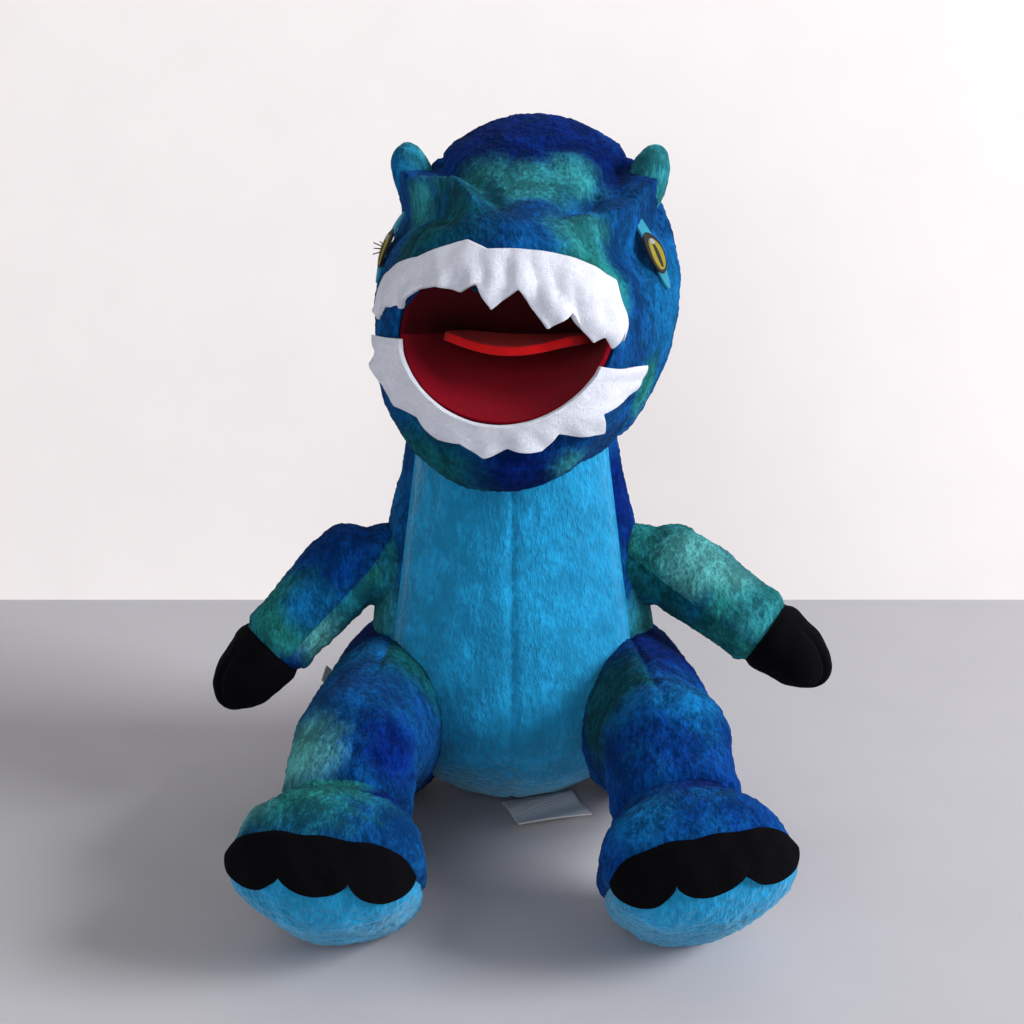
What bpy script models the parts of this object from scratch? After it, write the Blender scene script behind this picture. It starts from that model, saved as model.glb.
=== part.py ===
"""A seated stuffed dinosaur: sewn plush skins over loose filling, felt teeth, claws and tongue.

Metres, +Z up. The toy faces -Y and sits on Z = 0, with its left side at +X.
Each skin is a thin shell cut along its seams, and each filling is a solid inside it.
"""

import math

import bmesh
import bpy
import numpy as np
from mathutils import Matrix, Vector

# Cloth
PLUSH = 0.0012           # thickness of the plush skin
FELT = 0.0011            # thickness of the felt teeth and lining
TONGUE_FELT = 0.0016     # the tongue is two layers of felt
RIBBON = 0.0005          # thickness of the satin labels
SEAM_GAP = 0.0003        # clearance between pieces that touch
CAVITY = PLUSH + SEAM_GAP

# Torso: height, offset in Y, half-width and half-depth of its stations, from seat to neck
TORSO_STATIONS = (
    (-0.003, 0.001, 0.0320, 0.0300),
    (0.012, -0.001, 0.0350, 0.0320),
    (0.032, -0.001, 0.0360, 0.0325),
    (0.052, 0.001, 0.0345, 0.0300),
    (0.070, 0.003, 0.0310, 0.0265),
    (0.086, 0.004, 0.0262, 0.0240),
    (0.104, 0.004, 0.0240, 0.0225),
)
TORSO_CAPS = (0.036, 0.012)
NECK_HEIGHT = 0.0905     # plane where the head is sewn to the neck
BELLY_SEAM_Y = -0.011    # the side seams, in front of which the belly cloth lies
BELLY_SEAM_LEAN = math.radians(4)

# Head, in its own frame: distance forward of its back, height, half-width and half-height
HEAD_STATIONS = (
    (0.000, 0.040, 0.0320, 0.0365),
    (0.020, 0.040, 0.0348, 0.0412),
    (0.038, 0.037, 0.0354, 0.0400),
    (0.056, 0.0325, 0.0316, 0.0338),
    (0.074, 0.0305, 0.0268, 0.0302),
    (0.090, 0.0298, 0.0240, 0.0290),
)
HEAD_CAPS = (0.030, 0.014)
HEAD_BACK = 0.032        # how far the head's back lies behind the neck's middle
HEAD_YAW = math.radians(-10)
HEAD_LEAN = 0.0044       # the head sits a little towards its left
GUSSET_HALF_WIDTH = 0.018
CREASE_FORWARD = 0.056   # the fold at the back of the mouth, from the head's back
CREASE_HEIGHT = 0.0320
PALATE_RISE = math.radians(35)
JAW_DROP = math.radians(24)

# Mouth
UPPER_TEETH = 9
UPPER_TOOTH_DROP = 0.0105
LOWER_TEETH = 11
LOWER_TOOTH_DROP = 0.0066
GUM_SHARE = 0.4          # share of a tooth's drop that its strip keeps between two teeth
TEETH_SWEEP = math.radians(84)
TEETH_CENTRE = 0.060     # middle of the teeth's bend, from the head's back
TONGUE_LENGTH = 0.024
TONGUE_HALF_WIDTH = 0.0150
TONGUE_START = 0.0026    # the tongue's sewn end, in front of the crease
TONGUE_RISE = math.radians(3)

# Crests and eyes, in the head's frame
CREST_RADII = (0.0050, 0.0062, 0.0085)
CREST_PLACE = (0.0285, 0.034, 0.0665)
EYE_FORWARD = 0.049
EYE_HEIGHT = 0.0500
EYE_LENGTH = 0.018
EYE_WIDTH = 0.011
EYE_THREAD = 0.0009      # thickness of the embroidered eye

# Arms: distance from the shoulder, half-width and half-depth
ARM_BALL = 0.0100
ARM_STATIONS = (
    (-ARM_BALL, ARM_BALL, ARM_BALL),
    (0.0000, ARM_BALL, ARM_BALL),
    (0.0130, 0.0099, 0.0096),
    (0.0260, 0.0094, 0.0086),
    (0.0350, 0.0091, 0.0076),
    (0.0440, 0.0082, 0.0060),
)
ARM_CAPS = (ARM_BALL, 0.010)
SHOULDER = (0.0420, -0.006, 0.0610)
ARM_FORWARD = math.radians(20)
ARM_DROOP = {"left": math.radians(32), "right": math.radians(44)}
WRIST = 0.0255
ARM_OPENING = 0.0065     # the skin's open end, behind the shoulder's middle

# Legs: distance from the hip, half-width and half-height
ANKLE = 0.0520           # distance from the hip
ANKLE_BALL = 0.0140
THIGH_STATIONS = (
    (-0.0235, 0.0140, 0.0210),
    (-0.0040, 0.0155, 0.0230),
    (0.0140, 0.0156, 0.0205),
    (0.0320, 0.0150, 0.0170),
    (ANKLE, ANKLE_BALL, ANKLE_BALL),
    (ANKLE + ANKLE_BALL, ANKLE_BALL, ANKLE_BALL),
)
THIGH_CAPS = (0.016, ANKLE_BALL)
HIP = (0.0300, -0.004, 0.0240)
HIP_DISC_X = 0.0195      # the flat face where the thigh is sewn to the body's side
HIP_POCKET = 0.0280      # radius of the hollow that the thigh fills in the body's side
LEG_SPLAY = math.radians(5)
LEG_RISE = math.radians(12.2)
KICK_ANGLES = (math.radians(5), math.radians(10))   # the body is hollowed for a leg raised this far
KICK_ROOM = 0.0005       # clearance round a raised thigh

# Feet, in their own frame: distance from the middle towards the toes, half-width and half-height
FOOT_STATIONS = (
    (-0.0235, 0.0145, 0.0125),
    (-0.0120, 0.0168, 0.0150),
    (0.0020, 0.0185, 0.0158),
    (0.0140, 0.0190, 0.0145),
    (0.0235, 0.0180, 0.0125),
)
FOOT_CAPS = (0.013, 0.012)
FOOT_AHEAD = 0.0100      # the foot's middle from the ankle, towards the toes
FOOT_BELOW = 0.0266      # and towards the sole
FOOT_PITCH = math.radians(36)
TOE_OUT = math.radians(5)
SOLE_HEIGHT = -0.0030
TOE_FRONT = 0.0100
TOE_SLANT = math.radians(24)

# Tail: distance from its root, half-width and half-height
TAIL_BALL = 0.0165
TAIL_STATIONS = (
    (-TAIL_BALL, TAIL_BALL, TAIL_BALL),
    (0.0000, TAIL_BALL, TAIL_BALL),
    (0.0200, 0.0150, 0.0145),
    (0.0400, 0.0120, 0.0115),
    (0.0580, 0.0085, 0.0082),
    (0.0720, 0.0062, 0.0060),
)
TAIL_CAPS = (TAIL_BALL, 0.008)
TAIL_ROOT_Y = 0.0330
TAIL_DIP = math.radians(6.5)
TAIL_OPENING = 0.0110

# Labels: width, length and place
CARE_LABEL = (0.0190, 0.0220)
CARE_LABEL_PLACE = (0.0060, -0.0070, 0.0008)
CARE_LABEL_YAW = math.radians(16)
SIDE_LABEL = (0.0100, 0.0205)
SIDE_LABEL_PLACE = (-0.0320, -0.0160, 0.0260)
SIDE_LABEL_RISE = math.radians(42)

SIDES = {"left": 1, "right": -1}
CUTTER_SIZE = 0.4
FORWARD = Matrix.Rotation(math.pi / 2, 4, "X")   # turns +Z to face forward and +Y up
LIMB_MESH = (16, 12)     # facets round and along a limb's form
HEAD_MESH = (20, 14)
TORSO_MESH = (24, 14)
TOOTH_COLUMNS = 4        # facets across a tooth
STRIP_ROWS = 3           # facets down a strip of teeth
FLOOR_TRIM = 0.0006      # how far a rounded underside is flattened where it rests

# Colours as linear values
COLOURS = {
    "tie_dye": (0.006, 0.085, 0.24),
    "belly_blue": (0.012, 0.25, 0.50),
    "filling": (0.82, 0.82, 0.80),
    "black_felt": (0.004, 0.004, 0.006),
    "white_felt": (0.78, 0.78, 0.82),
    "mouth_red": (0.16, 0.006, 0.014),
    "tongue_red": (0.38, 0.012, 0.010),
    "eye_thread": (0.62, 0.50, 0.03),
    "satin": (0.75, 0.75, 0.75),
}

PARTS = "stuffed_dinosaur"
CUTTERS = "cutters"


def clear_scene():
    for obj in list(bpy.data.objects):
        bpy.data.objects.remove(obj, do_unlink=True)
    for collection in list(bpy.data.collections):
        bpy.data.collections.remove(collection)
    for name in (PARTS, CUTTERS):
        bpy.context.scene.collection.children.link(bpy.data.collections.new(name))
    bpy.data.collections[CUTTERS].hide_render = True


def material(name):
    found = bpy.data.materials.get(name)
    if found:
        return found
    made = bpy.data.materials.new(name)
    made.use_nodes = True
    shader = made.node_tree.nodes["Principled BSDF"]
    shader.inputs["Base Color"].default_value = (*COLOURS[name], 1.0)
    shader.inputs["Roughness"].default_value = 0.9
    shader.inputs["Metallic"].default_value = 0.0
    return made


def add_object(name, mesh, cloth=None, parent=None, collection=PARTS):
    obj = bpy.data.objects.new(name, mesh)
    bpy.data.collections[collection].objects.link(obj)
    obj.parent = parent
    if cloth:
        obj.data.materials.append(material(cloth))
        obj.data.shade_smooth()
        obj.data.set_sharp_from_angle(angle=math.radians(50))
    return obj


def pivot(name, parent, location, rotation=(0, 0, 0)):
    empty = bpy.data.objects.new(name, None)
    bpy.data.collections[PARTS].objects.link(empty)
    empty.parent = parent
    empty.location = location
    empty.rotation_euler = rotation
    return empty


# Forms


def station_values(stations, distance):
    """The values at a distance along the stations, on a smooth curve through them."""
    table = np.array(stations, float)
    places = table[:, 0]
    last = len(places) - 1
    index = int(np.clip(np.searchsorted(places, distance) - 1, 0, last - 1))
    before, start, end, after = (table[min(max(index + step, 0), last), 1:] for step in (-1, 0, 1, 2))
    share = (distance - places[index]) / (places[index + 1] - places[index])
    rise = (end - before) / 2
    fall = (after - start) / 2
    return (
        start * (1 + share**2 * (2 * share - 3))
        + end * share**2 * (3 - 2 * share)
        + rise * share * (1 - share) ** 2
        + fall * share**2 * (share - 1)
    )


def section(stations, caps, distance):
    """Offset in Y and half-sizes of a form's section. Each end is rounded over its cap."""
    values = station_values(stations, distance)
    offset = values[0] if len(values) == 3 else 0.0
    ends = (distance - stations[0][0], stations[-1][0] - distance)
    rounding = 1.0
    for from_end, cap in zip(ends, caps):
        short = max(0.0, 1 - from_end / cap)
        rounding *= math.sqrt(max(0.0, 1 - short**2))
    return offset, values[-2] * rounding, values[-1] * rounding


def new_mesh(name, bm):
    mesh = bpy.data.meshes.new(name)
    bm.to_mesh(mesh)
    bm.free()
    return mesh


def swollen_mesh(name, stations, caps, facets=LIMB_MESH, inset=0.0, floor=None):
    """A ball drawn out along +Z through the stations. An inset shrinks it all round,
    and a floor flattens what lies below that height."""
    bm = bmesh.new()
    bmesh.ops.create_uvsphere(bm, u_segments=facets[0], v_segments=facets[1], radius=1.0)
    low, high = stations[0][0], stations[-1][0]
    for vert in bm.verts:
        distance = low + (high - low) * (vert.co.z + 1) / 2
        distance = min(max(distance, low), high)
        offset, half_x, half_y = section(stations, caps, distance)
        around = max(math.hypot(vert.co.x, vert.co.y), 1e-6)
        height = distance if floor is None else max(distance, floor)
        vert.co = Vector((vert.co.x / around * half_x, vert.co.y / around * half_y + offset, height))
    bm.normal_update()
    if inset:
        for vert in bm.verts:
            vert.co -= vert.normal * inset
    return new_mesh(name, bm)


def shell(obj, thickness=PLUSH):
    """Turns a closed form into a skin of that thickness, grown inwards."""
    wall = obj.modifiers.new("skin", "SOLIDIFY")
    wall.thickness = thickness
    wall.offset = -1
    return obj


def aim(direction):
    """Rotation that turns +Z to a direction and keeps +Y upwards."""
    return Vector(direction).to_track_quat("Z", "Y").to_matrix()


# Cutters


def place_cutter(name, mesh, parent, location, rotation=(0, 0, 0)):
    obj = add_object(name, mesh, parent=parent, collection=CUTTERS)
    obj.location = location
    obj.rotation_euler = rotation
    obj.hide_render = True
    obj.display_type = "WIRE"
    return obj


def box_cutter(name, parent, corner, towards, rotation=(0, 0, 0)):
    """A large box that lies from corner in the direction towards, in its own turned axes."""
    bm = bmesh.new()
    bmesh.ops.create_cube(bm, size=CUTTER_SIZE)
    bmesh.ops.translate(bm, verts=bm.verts, vec=Vector(towards) * CUTTER_SIZE / 2)
    return place_cutter(name, new_mesh(name, bm), parent, corner, rotation)


def ball_cutter(name, parent, centre, radius):
    bm = bmesh.new()
    bmesh.ops.create_uvsphere(bm, u_segments=24, v_segments=16, radius=radius)
    return place_cutter(name, new_mesh(name, bm), parent, centre)


def drum_cutter(name, parent, centre, radius, side):
    """A drum along X whose flat end is at centre and which runs outwards from it."""
    bm = bmesh.new()
    bmesh.ops.create_cone(
        bm, cap_ends=True, segments=32, radius1=radius, radius2=radius, depth=CUTTER_SIZE
    )
    bmesh.ops.translate(bm, verts=bm.verts, vec=Vector((0, 0, CUTTER_SIZE / 2)))
    return place_cutter(name, new_mesh(name, bm), parent, centre, (0, side * math.pi / 2, 0))


def cut(obj, *cutters, operation="DIFFERENCE"):
    for cutter in cutters:
        tool = obj.modifiers.new(operation.lower() + "_" + cutter.name, "BOOLEAN")
        tool.operation = operation
        tool.object = cutter
        tool.solver = "EXACT"
    return obj


def keep(obj, *cutters):
    return cut(obj, *cutters, operation="INTERSECT")


# Torso


def mirrored(place, side):
    return (side * place[0], *place[1:])


def tail_root():
    return (0.0, TAIL_ROOT_Y, TAIL_BALL - FLOOR_TRIM)


def thigh_axes(side):
    """Rotation of a thigh that points forward, a little outwards and upwards."""
    direction = (
        side * math.sin(LEG_SPLAY) * math.cos(LEG_RISE),
        -math.cos(LEG_SPLAY) * math.cos(LEG_RISE),
        math.sin(LEG_RISE),
    )
    return aim(direction)


def make_torso(toy):
    """Three skin panels over one filling, with hollows for the arms, thighs and tail."""
    half_gap = SEAM_GAP / 2
    hollows = [
        box_cutter("neck_trim", toy, (0, 0, NECK_HEIGHT), (0, 0, 1)),
        ball_cutter("tail_socket", toy, tail_root(), TAIL_BALL + SEAM_GAP),
    ]
    for name, side in SIDES.items():
        shoulder = mirrored(SHOULDER, side)
        hollows.append(ball_cutter(f"shoulder_socket_{name}", toy, shoulder, ARM_BALL + SEAM_GAP))
        hip = mirrored((HIP_DISC_X - SEAM_GAP, *HIP[1:]), side)
        hollows.append(drum_cutter(f"hip_pocket_{name}", toy, hip, HIP_POCKET, side))
        inside = box_cutter(f"kick_room_edge_{name}", toy, hip, (-side, 0, 0))
        for step, angle in enumerate(KICK_ANGLES):
            label = f"kick_room_{name}_{step}"
            mesh = swollen_mesh(label, THIGH_STATIONS, THIGH_CAPS, inset=-KICK_ROOM)
            turn = Matrix.Rotation(-angle, 3, "X") @ thigh_axes(side)
            room = place_cutter(label, mesh, toy, mirrored(HIP, side), turn.to_euler())
            hollows.append(cut(room, inside))
    lean = (BELLY_SEAM_LEAN, 0, 0)

    def panel(name, cloth, *halves):
        mesh = swollen_mesh(name, TORSO_STATIONS, TORSO_CAPS, TORSO_MESH, floor=0.0)
        skin = shell(add_object(name, mesh, cloth, toy))
        keep(skin, *halves)
        cut(skin, *hollows)

    behind = box_cutter("back_side_seam", toy, (0, BELLY_SEAM_Y + half_gap, 0), (0, 1, 0), lean)
    panel("back_panel", "tie_dye", behind)
    front = box_cutter("belly_side_seam", toy, (0, BELLY_SEAM_Y - half_gap, 0), (0, -1, 0), lean)
    for name, side in SIDES.items():
        half = box_cutter(f"belly_seam_{name}", toy, (side * half_gap, 0, 0), (side, 0, 0))
        panel(f"belly_panel_{name}", "belly_blue", front, half)
    mesh = swollen_mesh("torso_filling", TORSO_STATIONS, TORSO_CAPS, TORSO_MESH, CAVITY, 0.0)
    filling = add_object("torso_filling", mesh, "filling", toy)
    cut(filling, *hollows)


# Head


def head_frame():
    """Turns a form drawn along +Z to face forward, with its offset upwards."""
    return Matrix.Translation((0, HEAD_BACK, 0)) @ FORWARD


def head_inside(x, forward, height):
    """Whether a place in the head's frame lies inside its form."""
    if not HEAD_STATIONS[0][0] < forward < HEAD_STATIONS[-1][0]:
        return False
    middle, half_width, half_height = section(HEAD_STATIONS, HEAD_CAPS, forward)
    return (x / half_width) ** 2 + ((height - middle) / half_height) ** 2 < 1


def lip_radius(azimuth, height_at):
    """Distance from the teeth's centre to the head's surface, at an angle and at that height."""
    near, far = 0.0, CUTTER_SIZE
    for _ in range(40):
        middle = (near + far) / 2
        forward = TEETH_CENTRE + middle * math.cos(azimuth)
        if head_inside(middle * math.sin(azimuth), forward, height_at(forward)):
            near = middle
        else:
            far = middle
    return near


def teeth_strip(name, parent, teeth, drop, slope, outward, folded):
    """A felt strip bent round a lip, with a row of points along its lower edge. A folded strip
    follows the jaw's outside, and the other hangs straight down inside the lip."""
    clearance = SEAM_GAP if folded else SEAM_GAP + FELT * math.tan(slope)
    bm = bmesh.new()
    bmesh.ops.create_grid(bm, x_segments=teeth * TOOTH_COLUMNS, y_segments=STRIP_ROWS, size=0.5)
    for vert in bm.verts:
        along = vert.co.x + 0.5
        down = 0.5 - vert.co.y
        azimuth = TEETH_SWEEP * (2 * along - 1)
        wave = abs((along * teeth) % 1 - 0.5) * 2
        tooth = 1 - (1 - GUM_SHARE) * wave
        taper = math.cos(azimuth * 0.75)
        length = drop * tooth * down * taper

        def lip(forward):
            return CREASE_HEIGHT + (forward - CREASE_FORWARD) * math.tan(slope) - clearance

        def surface(forward):
            return lip(forward) - length

        radius = lip_radius(azimuth, surface if folded else lip) + outward
        forward = TEETH_CENTRE + radius * math.cos(azimuth)
        height = lip(TEETH_CENTRE + (radius - outward) * math.cos(azimuth)) - length
        vert.co = Vector((radius * math.sin(azimuth), HEAD_BACK - forward, height))
    bm.normal_update()
    strip = add_object(name, new_mesh(name, bm), "white_felt", parent)
    wall = strip.modifiers.new("felt", "SOLIDIFY")
    wall.thickness = FELT
    wall.offset = 1 if folded else -1
    return strip


def eye_patch(name, parent, side):
    """An embroidered oval that lies on the cheek."""
    bm = bmesh.new()
    bmesh.ops.create_grid(bm, x_segments=8, y_segments=6, size=1.0)
    for vert in bm.verts:
        u, v = vert.co.x, vert.co.y
        across = u * math.sqrt(1 - v * v / 2) * EYE_WIDTH / 2
        up = v * math.sqrt(1 - u * u / 2) * EYE_LENGTH / 2
        forward = EYE_FORWARD + across
        height = EYE_HEIGHT + up
        middle, half_width, half_height = section(HEAD_STATIONS, HEAD_CAPS, forward)
        reach = half_width * math.sqrt(1 - ((height - middle) / half_height) ** 2)
        vert.co = Vector((side * (reach + SEAM_GAP), HEAD_BACK - forward, height))
    bm.normal_update()
    patch = add_object(name, new_mesh(name, bm), "eye_thread", parent)
    wall = patch.modifiers.new("thread", "SOLIDIFY")
    wall.thickness = EYE_THREAD
    wall.offset = -side
    return patch


def make_head(toy):
    """Three skin panels over one filling, with the mouth cut out as a wedge above a hinged jaw."""
    head = pivot("neck_pivot", toy, (HEAD_LEAN, 0, NECK_HEIGHT), (0, 0, HEAD_YAW))
    crease = Vector((0, HEAD_BACK - CREASE_FORWARD, CREASE_HEIGHT))
    jaw = pivot("jaw_pivot", head, crease)
    half_gap = SEAM_GAP / 2
    palate_turn = (-PALATE_RISE, 0, 0)
    jaw_turn = (JAW_DROP, 0, 0)
    palate_axes = Matrix.Rotation(-PALATE_RISE, 3, "X")
    jaw_axes = Matrix.Rotation(JAW_DROP, 3, "X")
    lining_step = FELT + SEAM_GAP

    def palate_box(name, up, ahead=0.0):
        corner = crease + palate_axes @ Vector((0, -ahead, up))
        return box_cutter(name, head, corner, (0, -1, -1), palate_turn)

    def jaw_box(name, down):
        corner = crease + jaw_axes @ Vector((0, 0, -down))
        return box_cutter(name, head, corner, (0, 0, -1), jaw_turn)

    def form(name, cloth, inset=0.0, parent=head):
        mesh = swollen_mesh(name, HEAD_STATIONS, HEAD_CAPS, HEAD_MESH, inset)
        mesh.transform(head_frame())
        obj = add_object(name, mesh, cloth, parent)
        if parent is jaw:
            obj.data.transform(Matrix.Translation(-crease))
        return obj

    neck = box_cutter("head_neck_trim", head, (0, 0, SEAM_GAP), (0, 0, -1))
    palate = palate_box("palate_cut", 0.0)
    edges = []
    for name, side in SIDES.items():
        inner = (side * (GUSSET_HALF_WIDTH - half_gap), 0, 0)
        edges.append(box_cutter(f"gusset_edge_{name}", head, inner, (side, 0, 0)))
        outer = (side * (GUSSET_HALF_WIDTH + half_gap), 0, 0)
        cheek_side = box_cutter(f"cheek_edge_{name}", head, outer, (side, 0, 0))
        cheek = shell(form(f"head_side_{name}", "tie_dye"))
        keep(cheek, cheek_side)
        cut(cheek, neck, palate)
    gusset = shell(form("head_gusset", "tie_dye"))
    cut(gusset, neck, palate, *edges)
    filling = form("head_filling", "filling", CAVITY)
    cut(filling, neck, palate_box("palate_lining_cut", lining_step))
    upper = form("mouth_lining_upper", "mouth_red", CAVITY)
    keep(upper, palate_box("palate_lining_top", FELT, SEAM_GAP))
    cut(upper, palate)

    behind = palate_box("jaw_back_cut", 0.0, SEAM_GAP)
    skin = shell(form("jaw_skin", "tie_dye", parent=jaw))
    keep(skin, jaw_box("jaw_top_cut", 0.0), behind)
    cut(skin, neck)
    stuffing = form("jaw_filling", "filling", CAVITY, jaw)
    keep(stuffing, jaw_box("jaw_lining_cut", lining_step), behind)
    lower = form("mouth_lining_lower", "mouth_red", CAVITY, jaw)
    keep(lower, jaw_box("jaw_lining_top", 0.0), behind)
    cut(lower, jaw_box("jaw_lining_base", FELT))

    teeth_strip(
        "upper_teeth", head, UPPER_TEETH, UPPER_TOOTH_DROP, PALATE_RISE, -SEAM_GAP, folded=False
    )
    lower_teeth = teeth_strip(
        "lower_teeth", jaw, LOWER_TEETH, LOWER_TOOTH_DROP, -JAW_DROP, SEAM_GAP, folded=True
    )
    lower_teeth.data.transform(Matrix.Translation(-crease))

    tongue_stations = (
        (TONGUE_START, TONGUE_HALF_WIDTH, TONGUE_FELT / 2),
        (TONGUE_START + TONGUE_LENGTH, TONGUE_HALF_WIDTH, TONGUE_FELT / 2),
    )
    mesh = swollen_mesh("tongue", tongue_stations, (TONGUE_FELT, TONGUE_LENGTH / 3), HEAD_MESH)
    mesh.transform(Matrix.Rotation(-TONGUE_RISE, 4, "X") @ FORWARD)
    tongue_root = pivot("tongue_pivot", head, crease)
    add_object("tongue", mesh, "tongue_red", tongue_root)

    head_mesh = swollen_mesh("crest_seat", HEAD_STATIONS, HEAD_CAPS, HEAD_MESH, -SEAM_GAP)
    head_mesh.transform(head_frame())
    seat = place_cutter("crest_seat", head_mesh, head, (0, 0, 0))
    for name, side in SIDES.items():
        bm = bmesh.new()
        bmesh.ops.create_uvsphere(bm, u_segments=14, v_segments=10, radius=1.0)
        bmesh.ops.scale(bm, verts=bm.verts, vec=CREST_RADII)
        crest = add_object(f"crest_{name}", new_mesh(f"crest_{name}", bm), "tie_dye", head)
        crest.location = (side * CREST_PLACE[0], HEAD_BACK - CREST_PLACE[1], CREST_PLACE[2])
        cut(crest, seat)
        eye_patch(f"eye_{name}", head, side)


# Limbs


def make_arm(toy, name, side):
    """An arm skin open at both ends, its filling, and a black claw mitt beyond the wrist."""
    droop = ARM_DROOP[name]
    level = math.cos(droop)
    direction = (
        side * level * math.cos(ARM_FORWARD), -level * math.sin(ARM_FORWARD), -math.sin(droop)
    )
    arm = pivot(f"shoulder_{name}", toy, mirrored(SHOULDER, side), aim(direction).to_euler())
    half_gap = SEAM_GAP / 2
    wrist = box_cutter(f"wrist_{name}", arm, (0, 0, WRIST - half_gap), (0, 0, 1))
    hand = box_cutter(f"hand_{name}", arm, (0, 0, WRIST + half_gap), (0, 0, 1))
    opening = box_cutter(f"arm_opening_{name}", arm, (0, 0, -ARM_OPENING), (0, 0, -1))
    skin_mesh = swollen_mesh(f"arm_skin_{name}", ARM_STATIONS, ARM_CAPS)
    skin = shell(add_object(f"arm_skin_{name}", skin_mesh, "tie_dye", arm))
    cut(skin, wrist, opening)
    filling_mesh = swollen_mesh(f"arm_filling_{name}", ARM_STATIONS, ARM_CAPS, inset=CAVITY)
    cut(add_object(f"arm_filling_{name}", filling_mesh, "filling", arm), wrist)
    claw_mesh = swollen_mesh(f"hand_claws_{name}", ARM_STATIONS, ARM_CAPS)
    keep(add_object(f"hand_claws_{name}", claw_mesh, "black_felt", arm), hand)


def make_leg(toy, floor, name, side):
    """A thigh flat against the body's side, with a foot on its round end."""
    turn = thigh_axes(side)
    thigh = pivot(f"hip_{name}", toy, mirrored(HIP, side), turn.to_euler())
    disc = box_cutter(f"hip_disc_{name}", toy, (side * HIP_DISC_X, 0, 0), (-side, 0, 0))
    skin_mesh = swollen_mesh(f"thigh_skin_{name}", THIGH_STATIONS, THIGH_CAPS)
    skin = shell(add_object(f"thigh_skin_{name}", skin_mesh, "tie_dye", thigh))
    cut(skin, disc, floor)
    filling_mesh = swollen_mesh(f"thigh_filling_{name}", THIGH_STATIONS, THIGH_CAPS, inset=CAVITY)
    cut(add_object(f"thigh_filling_{name}", filling_mesh, "filling", thigh), disc, floor)

    foot_turn = Matrix.Rotation(side * TOE_OUT, 3, "Z") @ Matrix.Rotation(-FOOT_PITCH, 3, "X")
    ankle = pivot(
        f"ankle_{name}", thigh, (0, 0, ANKLE), (turn.inverted() @ foot_turn).to_euler()
    )
    foot_frame = Matrix.Translation((0, -FOOT_AHEAD, -FOOT_BELOW)) @ FORWARD
    half_gap = SEAM_GAP / 2
    middle = Vector((0, -FOOT_AHEAD, -FOOT_BELOW))
    toe_turn = (-TOE_SLANT, 0, 0)

    def foot_box(label, up, ahead, towards, rotation=(0, 0, 0)):
        corner = middle + Vector((0, -ahead, up))
        return box_cutter(f"{label}_{name}", ankle, corner, towards, rotation)

    above = foot_box("upper_edge", SOLE_HEIGHT + half_gap, 0, (0, 0, 1))
    below = foot_box("sole_edge", SOLE_HEIGHT - half_gap, 0, (0, 0, -1))
    toes = foot_box("toe_seam", 0, TOE_FRONT + half_gap, (0, -1, 0), toe_turn)
    instep = foot_box("instep_seam", 0, TOE_FRONT - half_gap, (0, 1, 0), toe_turn)
    socket = ball_cutter(f"ankle_socket_{name}", ankle, (0, 0, 0), ANKLE_BALL + SEAM_GAP)
    pieces = (
        ("foot_upper", "tie_dye", (above, instep)),
        ("foot_sole", "belly_blue", (below,)),
        ("toe_claws", "black_felt", (above, toes)),
    )
    for label, cloth, sides in pieces:
        mesh = swollen_mesh(f"{label}_{name}", FOOT_STATIONS, FOOT_CAPS)
        mesh.transform(foot_frame)
        piece = shell(add_object(f"{label}_{name}", mesh, cloth, ankle))
        keep(piece, *sides)
        cut(piece, socket, floor)
    mesh = swollen_mesh(f"foot_filling_{name}", FOOT_STATIONS, FOOT_CAPS, inset=CAVITY)
    mesh.transform(foot_frame)
    cut(add_object(f"foot_filling_{name}", mesh, "filling", ankle), socket)


def make_tail(toy, floor):
    direction = (0, math.cos(TAIL_DIP), -math.sin(TAIL_DIP))
    tail = pivot("tail_root", toy, tail_root(), aim(direction).to_euler())
    opening = box_cutter("tail_opening", tail, (0, 0, -TAIL_OPENING), (0, 0, -1))
    mesh = swollen_mesh("tail_skin", TAIL_STATIONS, TAIL_CAPS)
    skin = shell(add_object("tail_skin", mesh, "tie_dye", tail))
    cut(skin, opening, floor)
    mesh = swollen_mesh("tail_filling", TAIL_STATIONS, TAIL_CAPS, inset=CAVITY)
    cut(add_object("tail_filling", mesh, "filling", tail), floor)


def ribbon(name, parent, size, place, turn, seat):
    """A flat satin label, cut off where it meets the cloth that it is sewn to."""
    bm = bmesh.new()
    bmesh.ops.create_cube(bm, size=1.0)
    bmesh.ops.scale(bm, verts=bm.verts, vec=(size[0], size[1], RIBBON))
    bmesh.ops.translate(bm, verts=bm.verts, vec=(0, -size[1] / 2, 0))
    label = add_object(name, new_mesh(name, bm), "satin", parent)
    label.location = place
    label.rotation_euler = turn.to_euler()
    return cut(label, seat)


def make_labels(toy):
    """One label lies on the floor in front of the seat, and one stands out from the right thigh."""
    mesh = swollen_mesh("care_label_seat", TORSO_STATIONS, TORSO_CAPS, TORSO_MESH, -SEAM_GAP)
    seat = place_cutter("care_label_seat", mesh, toy, (0, 0, 0))
    ribbon(
        "care_label", toy, CARE_LABEL, CARE_LABEL_PLACE, Matrix.Rotation(CARE_LABEL_YAW, 3, "Z"), seat
    )
    mesh = swollen_mesh("side_label_seat", THIGH_STATIONS, THIGH_CAPS, inset=-SEAM_GAP)
    seat = place_cutter("side_label_seat", mesh, bpy.data.objects["hip_right"], (0, 0, 0))
    turn = Matrix.Rotation(SIDE_LABEL_RISE, 3, "Y") @ Matrix.Rotation(-math.pi / 2, 3, "Z")
    ribbon("side_label", toy, SIDE_LABEL, SIDE_LABEL_PLACE, turn, seat)


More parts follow.
